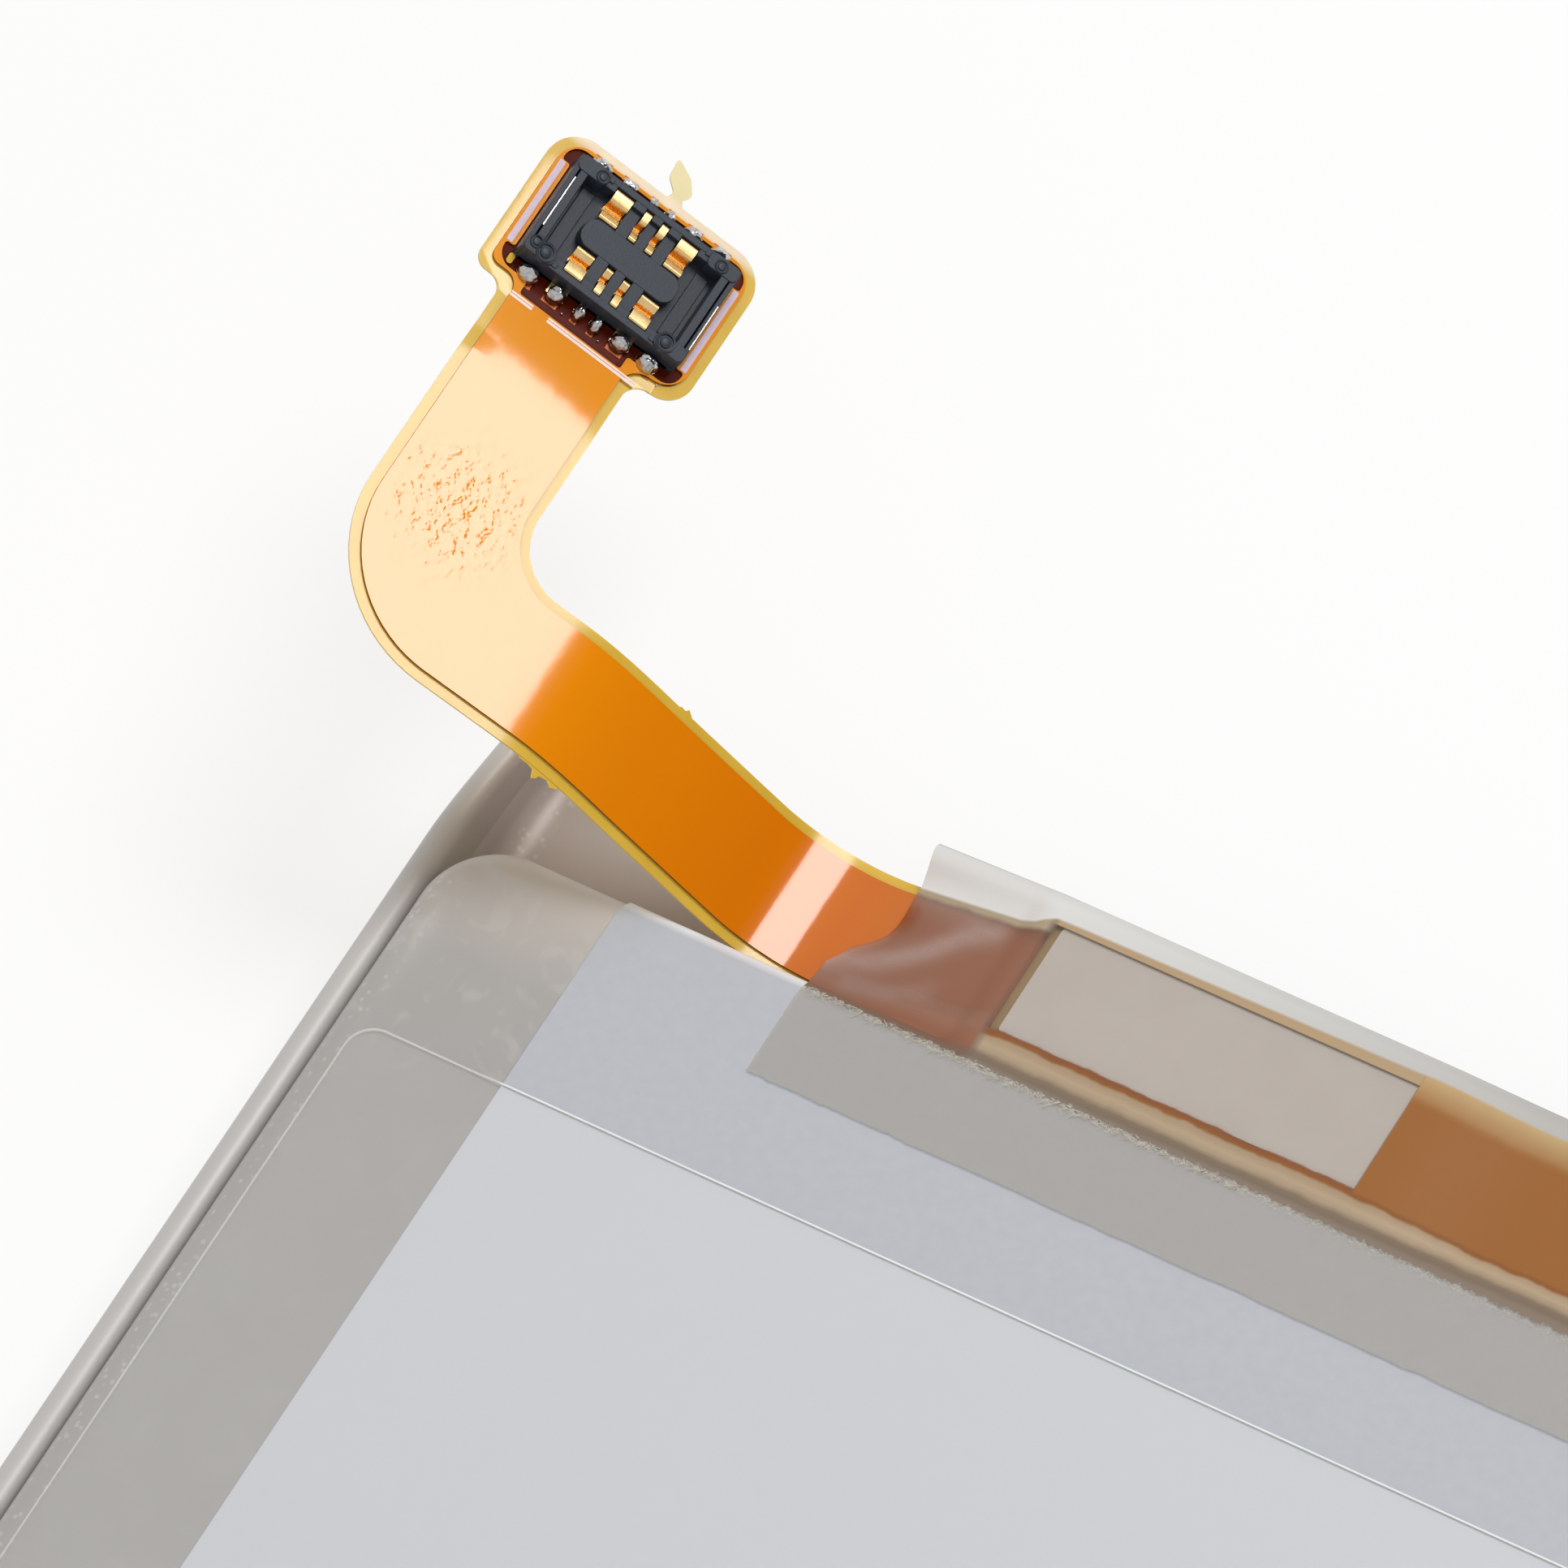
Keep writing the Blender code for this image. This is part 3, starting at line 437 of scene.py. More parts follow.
def surface(name, light, dark, grain, roughness, bump=0.0, fine=None, **sockets):
    """Principled material with two tones mixed by noise of one grain size, uneven gloss and a fine bump."""
    material = bpy.data.materials.new(name)
    material.use_nodes = True
    tree = material.node_tree
    shader = tree.nodes["Principled BSDF"]
    place = add_node(tree, "ShaderNodeTexCoord").outputs["Object"]
    cloud = add_node(
        tree, "ShaderNodeTexNoise",
        {"Vector": place, "Scale": 1 / grain, "Detail": 4.0, "Roughness": 0.55})
    tint = add_node(
        tree, "ShaderNodeMix", {0: cloud.outputs["Fac"], 6: tone(dark), 7: tone(light)}, data_type="RGBA")
    gloss = add_node(
        tree, "ShaderNodeMapRange",
        {"Value": cloud.outputs["Fac"], "To Min": roughness * 0.85, "To Max": roughness * 1.15})
    tree.links.new(tint.outputs[2], shader.inputs["Base Color"])
    tree.links.new(gloss.outputs["Result"], shader.inputs["Roughness"])
    if bump:
        grit = add_node(
            tree, "ShaderNodeTexNoise",
            {"Vector": place, "Scale": 1 / (fine or grain / 6), "Detail": 3.0})
        raised = add_node(
            tree, "ShaderNodeBump", {"Height": grit.outputs["Fac"], "Distance": bump, "Strength": 1.0})
        tree.links.new(raised.outputs["Normal"], shader.inputs["Normal"])
    for socket, value in sockets.items():
        shader.inputs[socket.replace("_", " ")].default_value = value
    return material


def coordinates(tree):
    """Fields of a material: the place on the piece in its own coordinates, and that place's X and Y."""
    place = add_node(tree, "ShaderNodeTexCoord").outputs["Object"]
    parts = add_node(tree, "ShaderNodeSeparateXYZ", {"Vector": place}).outputs
    return {"place": place, "x": parts["X"], "y": parts["Y"]}


def layered(tree, bases, ramps, layers):
    """Base colours with layers laid over them.

    A ramp turns a field's span from start to full into a share, from 0 to 1 or between two limits. A layer
    names the ramps whose product is its share, and gives one colour for each base.
    """
    shares = {}
    for name, (field, start, full, *limits) in ramps.items():
        low, high = limits or (0.0, 1.0)
        ramp = add_node(
            tree, "ShaderNodeMapRange",
            {"Value": field, "From Min": start, "From Max": full, "To Min": low, "To Max": high})
        shares[name] = ramp.outputs["Result"]
    for names, *colours in layers:
        first, *others = names.split()
        share = shares[first]
        for name in others:
            both = add_node(tree, "ShaderNodeMath", {0: share, 1: shares[name]}, operation="MULTIPLY")
            share = both.outputs["Value"]
        mixes = [
            add_node(tree, "ShaderNodeMix", {0: share, 6: tone(base), 7: tone(colour)}, data_type="RGBA")
            for base, colour in zip(bases, colours)]
        bases = [mix.outputs[2] for mix in mixes]
    return bases


def tinted(material, ramps, layers):
    """The material with layers of colour laid over its own."""
    tree = material.node_tree
    shader = tree.nodes["Principled BSDF"]
    base = shader.inputs["Base Color"].links[0].from_socket
    (tint,) = layered(tree, [base], ramps, layers)
    tree.links.new(tint, shader.inputs["Base Color"])
    return material


def pouch_laminate():
    # Cold-formed aluminium laminate: satin nylon skin over foil, a warm grey, crinkled where it is drawn
    # over the cell's end, with painted light that makes it paler there and the folded seams paler, a
    # painted warm reflection of the amber strip that makes it browner in the terrace, and pinhead blisters
    # of glue beside the film
    material = surface(
        "cold_formed_pouch_laminate", tuple(bpy.context.scene.battery_cell.pouch_colour), "A29F9D",
        5 * mm, 0.46, bump=0.016 * mm, fine=0.9 * mm, Metallic=0.1, Coat_Weight=0.08, Coat_Roughness=0.3)
    tree = material.node_tree
    fields = coordinates(tree)
    place, y = fields["place"], fields["y"]
    side = add_node(
        tree, "ShaderNodeMath", {0: fields["x"]}, operation="ABSOLUTE").outputs["Value"]
    crazing = add_node(
        tree, "ShaderNodeTexNoise",
        {"Vector": place, "Scale": 1 / (1.5 * mm), "Detail": 2.0, "Distortion": 2.2})
    cells = add_node(tree, "ShaderNodeTexVoronoi", {"Vector": place, "Scale": 1 / (0.2 * mm)})
    # Painted light: paler near the cell's end, warm reflection of the strip in the terrace, lighter seams
    ramps = {
        "drawn": (y, half_length - 2.6 * mm, half_length - 0.3 * mm),
        "crinkled": (crazing.outputs["Fac"], 0.54, 0.64, 0.0, 0.34),
        "bare": (y, film_back - 1.5 * mm, film_back + 0.8 * mm, 0.12, 0.8),
        "in_terrace": (y, half_length - 0.2 * mm, half_length + 0.5 * mm),
        "blistered": (cells.outputs["Distance"], 0.1, 0.34, 1.0, 0.0),
        "beside_film": (side, film_half - 0.1 * mm, film_half + 0.1 * mm),
        "before_edge": (side, half_width - 0.2 * mm, half_width, 0.38, 0.0),
        "on_seam": (side, roll_inner - 0.1 * mm, roll_inner + 0.1 * mm)}
    # The end, terrace and seam layers are painted light; the crinkles and blisters are the laminate's own
    return tinted(material, ramps, (
        ("drawn", "C4BCB6"), ("crinkled bare", "C6C2BE"), ("in_terrace", "AFA49F"),
        ("blistered beside_film before_edge", "D8D5D1"), ("on_seam", "BEBBB9")))


def label_stock():
    # Calendered polypropylene label: even, cool pale grey with a fine grain, painted a shade paler under
    # the clear film for its sheen, and a painted white highlight where it rounds the cell's edge beside the
    # tape
    material = surface(
        "calendered_label", tuple(bpy.context.scene.battery_cell.label_colour), "B1B4BB", 0.25 * mm, 0.55,
        bump=0.003 * mm, fine=0.12 * mm)
    tree = material.node_tree
    fields = coordinates(tree)
    covered = add_node(
        tree, "ShaderNodeMath", {0: fields["y"], 1: film_back}, operation="LESS_THAN")
    # Painted light: sheen under the film, and a highlight on the edge's rounding beside the tape
    ramps = {
        "covered": (covered.outputs["Value"], 0.0, 1.0),
        "drawn": (fields["y"], 42.92 * mm, 43.1 * mm, 0.0, 0.7),
        "beside_tape": (fields["x"], tape_left + 0.1 * mm, tape_left - 0.1 * mm)}
    return tinted(material, ramps, (("covered", "C9CCD1"), ("drawn beside_tape", "F0F1F2")))


def clear_film():
    # Clear polyester film: nearly invisible, a slight haze and a gloss
    return surface(
        "clear_polyester_film", "F0F0F0", "E6E6E6", 3 * mm, 0.35, Alpha=0.05, IOR=1.45)


def film_edge():
    # Slit edge of the film: scatters the light, so it reads as a thin white line, fainter where it is
    # wetted onto the pouch
    material = surface("slit_film_edge", "FAFAFA", "E8E8E8", 0.3 * mm, 0.5)
    tree = material.node_tree
    side = add_node(tree, "ShaderNodeMath", {0: coordinates(tree)["x"]}, operation="ABSOLUTE")
    veil = add_node(
        tree, "ShaderNodeMapRange",
        {"Value": side.outputs["Value"], "From Min": label_half - 0.1 * mm,
         "From Max": label_half + 0.1 * mm, "To Min": 0.9, "To Max": 0.34})
    tree.links.new(veil.outputs["Result"], tree.nodes["Principled BSDF"].inputs["Alpha"])
    return material


def polyimide():
    # Cast polyimide film: translucent yellow, smooth gloss, a painted highlight along the head's far edge
    material = surface(
        "cast_polyimide", tuple(bpy.context.scene.battery_flex.border), "D4A938", 1.2 * mm, 0.16,
        bump=0.002 * mm, fine=0.4 * mm, IOR=1.6, Specular_IOR_Level=0.38, Subsurface_Weight=0.2,
        Subsurface_Radius=(0.4 * mm, 0.2 * mm, 0.1 * mm))
    y = coordinates(material.node_tree)["y"]
    # The far edge's paleness is a painted highlight; the sliver has its own paler colour
    ramps = {
        "far_edge": (y, head_back - 0.3 * mm, head_back - 0.1 * mm, 0.0, 0.72),
        "sliver": (y, head_back, head_back + 0.1 * mm, 0.0, 0.85)}
    return tinted(material, ramps, (("far_edge", "FBEDDC"), ("sliver", "EADDA6")))


def coverlay_rim():
    # Punched edge of the cover film: dark amber on its side faces, painted shade for the shadow line along
    # it
    return surface("coverlay_edge_painted_shade", "9A5A1C", "6A3A10", 0.3 * mm, 0.4)


def amber_coverlay():
    # Pressed amber polyimide over copper: deep orange under a mirror-like, slightly mottled gloss, with
    # painted shading that leaves it paler towards the connector and darker and redder towards the board,
    # with orange-peel where the arm was gripped
    material = surface(
        "pressed_amber_coverlay", tuple(bpy.context.scene.battery_flex.amber), "E88E0A", 2.5 * mm, 0.09,
        bump=0.0016 * mm, fine=0.45 * mm, IOR=1.7, Specular_Tint=(1.0, 0.77, 0.74, 1.0))
    tree = material.node_tree
    shader = tree.nodes["Principled BSDF"]
    fields = coordinates(tree)
    place, x = fields["place"], fields["x"]
    # Painted shading along the strip: paler at the crest, darker down the rise and valley to the board
    along = add_node(
        tree, "ShaderNodeMapRange", {"Value": x, "From Min": -20.5 * mm, "From Max": -12.5 * mm})
    deep = add_node(tree, "ShaderNodeValToRGB", {"Fac": along.outputs["Result"]})
    set_stops(deep, ((0.0, "F4920A"), (0.22, "E98606"), (0.62, "DD7604"), (0.8, "CE6A0E"), (1.0, "C66C10")))
    past_arm = {"past_arm": (x, -22.5 * mm, -19.5 * mm)}
    tinted(material, past_arm, (("past_arm", deep.outputs["Color"]),))
    grip = (-22.9 * mm, 46.75 * mm, 8.0 * mm)
    away = add_node(tree, "ShaderNodeVectorMath", {0: place, 1: grip}, operation="DISTANCE")
    gripped = add_node(
        tree, "ShaderNodeMapRange",
        {"Value": away.outputs["Value"], "From Min": 0.5 * mm, "From Max": 2.2 * mm,
         "To Min": 1.0, "To Max": 0.0})
    peel = add_node(
        tree, "ShaderNodeTexNoise", {"Vector": place, "Scale": 1 / (0.22 * mm), "Detail": 2.0})
    smooth = shader.inputs["Normal"].links[0].from_socket
    mottled = add_node(
        tree, "ShaderNodeBump",
        {"Height": peel.outputs["Fac"], "Distance": 0.017 * mm, "Strength": gripped.outputs["Result"],
         "Normal": smooth})
    tree.links.new(mottled.outputs["Normal"], shader.inputs["Normal"])
    return material


def stiffener_board():
    # Glass epoxy stiffener: tan laminate with a faint weave
    return surface("glass_epoxy_stiffener", "C7A35C", "AD8743", 0.3 * mm, 0.45, bump=0.004 * mm)


def moulded_polymer():
    # Moulded liquid crystal polymer: slate black, dull, with fine flow grain
    return surface(
        "moulded_slate_polymer", tuple(bpy.context.scene.battery_connector.housing_colour), "21262F",
        0.35 * mm, 0.45, bump=0.003 * mm, fine=0.04 * mm, Specular_IOR_Level=0.4)


def plated_gold():
    # Gold plate over nickel on stamped bronze: warm mirror with faint rolling marks
    return surface(
        "plated_gold", "FCDCA4", "E8BC7A", 0.2 * mm, 0.26, bump=0.0003 * mm, fine=0.05 * mm,
        Metallic=1.0)


def plated_tin():
    # Tin plate: soft grey metal
    return surface("plated_tin", "C9C8C6", "A8A7A5", 0.2 * mm, 0.28, bump=0.002 * mm, Metallic=1.0)


def reflowed_solder():
    # Reflowed solder: bright rounded metal with dark flux in its hollows
    return surface(
        "reflowed_solder", "F4F5F7", "77777B", 0.1 * mm, 0.16, bump=0.012 * mm, fine=0.08 * mm,
        Metallic=1.0)


def circuit_board():
    # Glass epoxy board: tan, its routed edge slightly rough
    return surface("routed_glass_epoxy", "C4A06A", "A98652", 0.5 * mm, 0.5, bump=0.01 * mm)


def white_print():
    # Screen-printed patch: flat warm white with a faint orange-peel
    return surface(
        "screen_printed_patch", "EADFD5", "E0D4C8", 0.8 * mm, 0.55, bump=0.003 * mm, fine=0.2 * mm)


def black_resin():
    # Transfer-moulded epoxy: matt black package
    return surface("moulded_epoxy", "2B2B2D", "1C1C1E", 0.2 * mm, 0.5, bump=0.004 * mm)


def fired_ceramic():
    # Fired ceramic: tan chip body with a fine grain
    return surface("fired_ceramic", "B79A78", "97795A", 0.12 * mm, 0.45, bump=0.003 * mm)


def rolled_aluminium():
    # Rolled aluminium: pale metal with fine rolling grain
    return surface(
        "rolled_aluminium", "D9DADB", "BFC0C2", 0.4 * mm, 0.32, bump=0.002 * mm, Metallic=1.0)


def rolled_nickel():
    # Rolled nickel: slightly yellow grey metal
    return surface("rolled_nickel", "BDB6AA", "A29B8F", 0.4 * mm, 0.3, bump=0.002 * mm, Metallic=1.0)


def seal_film():
    # Polypropylene seal film: milky and soft
    return surface("polypropylene_seal", "8B8B86", "73736E", 0.5 * mm, 0.4, bump=0.004 * mm)


def insulating_paper():
    # Aramid paper: cream, with a felted fibre grain
    return surface("calendered_aramid_paper", "D9D2BE", "C6BEA8", 0.25 * mm, 0.65, bump=0.008 * mm)


def window_ground():
    # Adhesive ground round the connector: dark red-brown and glossy, its darkness partly painted shade
    return surface(
        "dark_ground_painted_shade", "6A1E08", "43120A", 0.35 * mm, 0.35, bump=0.004 * mm,
        Specular_IOR_Level=0.06)


def bare_copper():
    # Copper pads under a thin flux: orange-brown metal
    return surface(
        "fluxed_copper_pad", "B8602F", "74300F", 0.12 * mm, 0.3, bump=0.003 * mm, Metallic=0.6)


def lilac_highlight_finish():
    # Painted highlight: pale lilac bars for the light on the window's raised side edges, uneven in tone
    return surface("pale_lilac_painted_highlight", "E6D6E4", "CDB7CC", 0.12 * mm, 0.5, bump=0.004 * mm)


def lip_finish():
    # Pale pink, glossy bead along the window's near edge
    return surface("pale_pink_window_bead", "FBE6DD", "F2D3C6", 0.3 * mm, 0.2, bump=0.002 * mm)


def frosted_tape():
    # Frosted acetate tape: a greyish veil that lets the colours below through, whiter where it stands free,
    # with a frayed line where its glue ends, painted shadow on the strip past that line, painted tan
    # shadows in the gap before the board, painted highlights along its creases and a painted shade line
    # along its outer rim
    material = surface(
        "frosted_acetate_tape", "8F8B85", "7C7872", 0.9 * mm, 0.4, bump=0.006 * mm, fine=0.3 * mm, IOR=1.4)
    tree = material.node_tree
    shader = tree.nodes["Principled BSDF"]
    fields = coordinates(tree)
    place, x, y = fields["place"], fields["x"], fields["y"]
    for name, grain, detail, roughness, distortion in (
            ("rag", 0.16 * mm, 3.0, 0.7, 0.0), ("cloud", 0.5 * mm, 2.0, 0.5, 0.0),
            ("strand", 0.07 * mm, 2.0, 0.5, 1.0)):
        pattern = add_node(
            tree, "ShaderNodeTexNoise",
            {"Vector": place, "Scale": 1 / grain, "Detail": detail, "Roughness": roughness,
             "Distortion": distortion})
        fields[name] = pattern.outputs["Fac"]
    spill = (-13.25 * mm, 45.55 * mm, 1.95 * mm)
    fields["spill"] = add_node(
        tree, "ShaderNodeVectorMath", {0: place, 1: spill}, operation="DISTANCE").outputs["Value"]
    fields["crease"] = add_node(
        tree, "ShaderNodeAttribute", attribute_name="crease").outputs["Fac"]
    # Colours and grey levels that change along a field: name, field, start, end and stops. Reach says how
    # far the pale outer band comes forward at each X.
    front, end = 43.0 * mm, 47.2 * mm
    courses = (
        ("reach", "x", -12 * mm, 0.0,
         ((0.0, 0.92), (0.13, 0.88), (0.165, 0.42), (0.2, 0.38), (0.82, 0.11), (0.85, 0.04))),
        # Painted shade: the flex seen through the tape, darkest just past the glue line as its shadow
        ("strip_tint_painted_shade", "y", front, 44.0 * mm,
         ((0.0, "7A6455"), (0.22, "84604E"), (0.45, "9A684F"), (1.0, "A27A68"))),
        ("strip_veil", "soft_y", front, 44.5 * mm, ((0.0, 0.93), (0.55, 0.9), (0.8, 0.42))),
        # Painted shadow: dark in the gap before the board, then beige tape over its side and the strip's
        # edge
        ("board_tint_painted_shadow", "soft_y", 43.06 * mm, 44.06 * mm,
         ((0.0, "8E7E6E"), (0.12, "7F6F5F"), (0.24, "84725F"), (0.36, "AC977D"), (0.5, "BAA488"),
          (0.66, "B0977A"), (0.71, "96602F"), (0.82, "8A5434"), (0.92, "767370"))),
        ("board_veil", "soft_y", 43.06 * mm, 44.06 * mm,
         ((0.0, 0.85), (0.24, 0.93), (0.68, 0.93), (0.83, 0.85), (0.86, 0.16))),
        ("border_tint", "soft_y", 45.95 * mm, 46.7 * mm, ((0.0, "9F652E"), (1.0, "C8AC7C"))),
        # Their last stops paint a shade line along the tape's outer rim
        ("outer_left_with_rim_shade", "y", front, end, ((0.9, "E6E5E3"), (0.965, "D8D7D5"), (0.985, "A3A19F"))),
        ("outer_right_with_rim_shade", "y", front, end, ((0.9, "AFACA8"), (0.965, "A8A5A1"), (0.985, "888582"))))
    # Lines along Y that wander: name, the field that moves them, how far, and the line they start from
    wanders = (
        ("skewed_y", "x", 0.0125, "y"), ("ragged_y", "rag", 0.42 * mm, "skewed_y"),
        ("soft_y", "cloud", 0.12 * mm, "y"), ("outer_y", "reach", 0.4 * mm, "y"))
    bands = {course[0]: add_node(tree, "ShaderNodeValToRGB") for course in courses}
    colours = {name: band.outputs["Color"] for name, band in bands.items()}
    fields["reach"] = colours["reach"]
    for name, field, factor, line in wanders:
        moved = add_node(
            tree, "ShaderNodeMath", {0: fields[field], 1: factor, 2: fields[line]},
            operation="MULTIPLY_ADD")
        fields[name] = moved.outputs["Value"]
    for name, field, start, full, stops in courses:
        span = add_node(
            tree, "ShaderNodeMapRange", {"Value": fields[field], "From Min": start, "From Max": full})
        tree.links.new(span.outputs["Result"], bands[name].inputs["Fac"])
        set_stops(bands[name], stops)
    ragged, soft = fields["ragged_y"], fields["soft_y"]
    ramps = {
        "loose": (ragged, 43.07 * mm, 43.12 * mm),
        "stuck": (ragged, 43.12 * mm, 43.07 * mm),
        "fraying": (ragged, 42.86 * mm, 43.04 * mm),
        "strand": (fields["strand"], 0.42, 0.56),
        "leftwards": (x, 12 * mm, -8 * mm),
        "past_lip": (ragged, 43.03 * mm, 43.08 * mm),
        "on_strip": (x, board_left + 0.1 * mm, board_left - 0.1 * mm),
        "on_board": (x, board_left - 0.1 * mm, board_left + 0.1 * mm),
        "spill": (fields["spill"], 0.6 * mm, 0.25 * mm),
        "crease": (fields["crease"], 0.0, 1.0),
        "behind_patch": (y, 46.31 * mm, 46.33 * mm),
        "before_gap": (x, patch_right + 0.1 * mm, patch_right),
        "past_patch": (x, patch_right - 0.02 * mm, patch_right + 0.02 * mm),
        "strip_border": (soft, 46.1 * mm, 46.2 * mm),
        "bare_strip": (soft, 43.8 * mm, 43.86 * mm),
        "far_border": (soft, 45.95 * mm, 46.15 * mm),
        "outer_band": (fields["outer_y"], 46.57 * mm, 46.63 * mm)}
    rightwards = {"rightwards": (x, -13 * mm, 4 * mm)}
    (outer_tint_with_rim_shade,) = layered(
        tree, [colours["outer_left_with_rim_shade"]], rightwards, (("rightwards", colours["outer_right_with_rim_shade"]),))
    # Each layer: its share, the tint and how thick the veil is
    tint, veil = layered(tree, ["C4BFB8", 0.3], ramps, (
        ("loose", "8A7C78", 0.38),
        ("fraying stuck strand leftwards", "D3CDC0", 0.62),
        ("past_lip on_strip", colours["strip_tint_painted_shade"], colours["strip_veil"]),
        ("loose spill", "9A4E1C", 0.6),
        # Painted highlight along the creases
        ("crease", "C2AFA8", 0.46),
        ("loose on_board", colours["board_tint_painted_shadow"], colours["board_veil"]),
        ("loose on_board behind_patch before_gap", "BA9F7C", 0.9),
        ("past_lip on_strip strip_border", "B3A388", 0.88),
        ("loose past_patch bare_strip", "9F652E", 0.9),
        ("loose past_patch far_border", colours["border_tint"], 0.92),
        ("loose outer_band", outer_tint_with_rim_shade, 0.94)))
    gloss = shader.inputs["Roughness"].links[0].from_socket
    dulled = {name: ramps[name] for name in ("past_lip", "on_strip")}
    (dull,) = layered(tree, [gloss], dulled, (("past_lip on_strip", 0.75),))
    tree.links.new(dull, shader.inputs["Roughness"])
    tree.links.new(tint, shader.inputs["Base Color"])
    tree.links.new(veil, shader.inputs["Alpha"])
    return material


def set_stops(ramp, stops):
    """Fill a colour ramp with (place, grey level or hex colour) stops."""
    colours = ramp.color_ramp.elements
    while len(colours) < len(stops):
        colours.new(0.5)
    for stop, (place, value) in zip(colours, stops):
        stop.position = place
        stop.color = tone(value)


# Pouch

def plan_grid(half_x, half_y, radius, insets_x, insets_y):
    """Rows of (x, y, inset) over a rounded rectangle; the insets are measured from its sides."""
    xs = [half_x - inset for inset in insets_x]
    ys = [half_y - inset for inset in insets_y]
    xs = [-x for x in xs] + [x for x in reversed(xs) if x > 1e-9]
    ys = [-y for y in ys] + [y for y in reversed(ys) if y > 1e-9]
    rows = []
    for y in ys:
        row = []
        for x in xs:
            inset_x = half_x - abs(x)
            inset_y = half_y - abs(y)
            if inset_x < radius and inset_y < radius:
                # In a corner's square the grid is bent onto arcs round the corner's centre
                over_x = radius - inset_x
                over_y = radius - inset_y
                reach = max(over_x, over_y)
                share = over_y / over_x if over_x >= over_y else 2 - over_x / over_y
                angle = math.pi / 4 * share
                bent_x = math.copysign(half_x - radius + reach * math.cos(angle), x)
                bent_y = math.copysign(half_y - radius + reach * math.sin(angle), y)
                row.append((bent_x, bent_y, radius - reach))
            else:
                row.append((x, y, min(inset_x, inset_y)))
        rows.append(row)
    return rows


def pouch_body():
    """The drawn cup of the pouch: face with its relief, rounded rim, walls and flat back."""
    steps = 7
    # The mesh is finest near the sides and ends, where the dimples and folds lie
    fine_x = 4.6 * mm
    fine_y = 7 * mm
    waist = 1.6 * mm
    turns = [math.radians(90) * (steps - step) / steps for step in range(steps + 1)]
    rim = [face_radius * (1 - math.sin(turn)) for turn in turns]
    insets_x = rim + spread(face_radius, fine_x, 0.09 * mm, 0.18 * mm)
    insets_x += spread(fine_x, half_width, 0.3 * mm, 1.2 * mm)
    insets_y = rim + spread(face_radius, fine_y, 0.1 * mm, 0.22 * mm)
    insets_y += spread(fine_y, half_length, 0.3 * mm, 1.2 * mm)
    rows = []
    for row in plan_grid(half_width, half_length, plan_radius, insets_x, insets_y):
        line = []
        for x, y, inset in row:
            short = max(0.0, face_radius - inset)
            z = face - face_radius + math.sqrt(max(0.0, face_radius ** 2 - short ** 2))
            z -= (relief(x, y) + corner_relief(x, y)) * smoothstep(inset / (0.9 * mm))
            line.append((x, y, z))
        rows.append(line)
    shape = bmesh.new()
    shape.from_mesh(grid_mesh(rows))
    for height in (waist, 0.0):
        edges = [edge for edge in shape.edges if edge.is_boundary]
        moved = bmesh.ops.extrude_edge_only(shape, edges=edges)["geom"]
        for item in moved:
            if isinstance(item, bmesh.types.BMVert):
                item.co.z = height
    open_edges = [edge for edge in shape.edges if edge.is_boundary]
    floor = bmesh.ops.holes_fill(shape, edges=open_edges)["faces"]
    bmesh.ops.recalc_face_normals(shape, faces=shape.faces)
    rims = [edge for edge in floor[0].edges]
    bmesh.ops.bevel(shape, geom=rims, offset=back_radius, segments=3, profile=0.5, affect="EDGES")
    return finished(shape, "pouch_body")


def terrace_sheet():
    """Sealed floor of the terrace between its two fences, bent up at both sides."""
    bend = 0.62 * mm
    top = roll_inner + 0.14 * mm
    outline = rounded([
        (-top, fence_top, 0), (-half_width, floor_top, bend), (half_width, floor_top, bend),
        (top, fence_top, 0)], closed=False, step=math.radians(7))
    profile = []
    for (x, z), (next_x, next_z) in zip(outline, outline[1:]):
        pieces = max(1, round(math.hypot(next_x - x, next_z - z) / (0.3 * mm)))
        shares = [piece / pieces for piece in range(pieces)]
        profile += [(x + (next_x - x) * share, z + (next_z - z) * share) for share in shares]
    profile.append(outline[-1])
    rows = []
    start = half_length - 0.4 * mm
    end = flange_end - 0.01 * mm
    count = 22
    # A soft bulge runs along the foot of each fence
    foot, foot_width, bulge_height = 20.9 * mm, 0.9 * mm, 0.05 * mm
    for index in range(count + 1):
        y = start + (end - start) * index / count
        along = smoothstep((y - roll_lean_start) / roll_lean_length)
        growing = smoothstep((y - half_length) / (0.6 * mm))
        row = []
        for x, z in profile:
            lean = roll_lean * along * z / roll_height
            near = math.exp(-((abs(x) - foot) / foot_width) ** 2)
            bulge = bulge_height * near * ripple(x, y, 1.3 * mm, 7) * growing
            row.append((x - math.copysign(lean, x) - math.copysign(bulge, x), y, z + 0.5 * abs(bulge)))
        rows.append(row)
    return thickened(grid_mesh(rows), floor_thickness, offset=-1.0)


def open_tree(name, sizes):
    """Node tree that takes and gives geometry, and its inputs: (name, kind) pairs and a material."""
    tree = bpy.data.node_groups.new(name, "GeometryNodeTree")
    made = tree.interface
    for label, kind in (("Geometry", "Geometry"), *sizes, ("Material", "Material")):
        made.new_socket(label, in_out="INPUT", socket_type="NodeSocket" + kind)
    made.new_socket("Geometry", in_out="OUTPUT", socket_type="NodeSocketGeometry")
    return tree, add_node(tree, "NodeGroupInput").outputs


def close_tree(tree, geometry, material):
    """End of a node tree: copies made real and their material set."""
    real = add_node(tree, "GeometryNodeRealizeInstances", {"Geometry": geometry})
    coloured = add_node(
        tree, "GeometryNodeSetMaterial", {"Geometry": real.outputs["Geometry"], "Material": material})
    add_node(tree, "NodeGroupOutput", {"Geometry": coloured.outputs["Geometry"]})


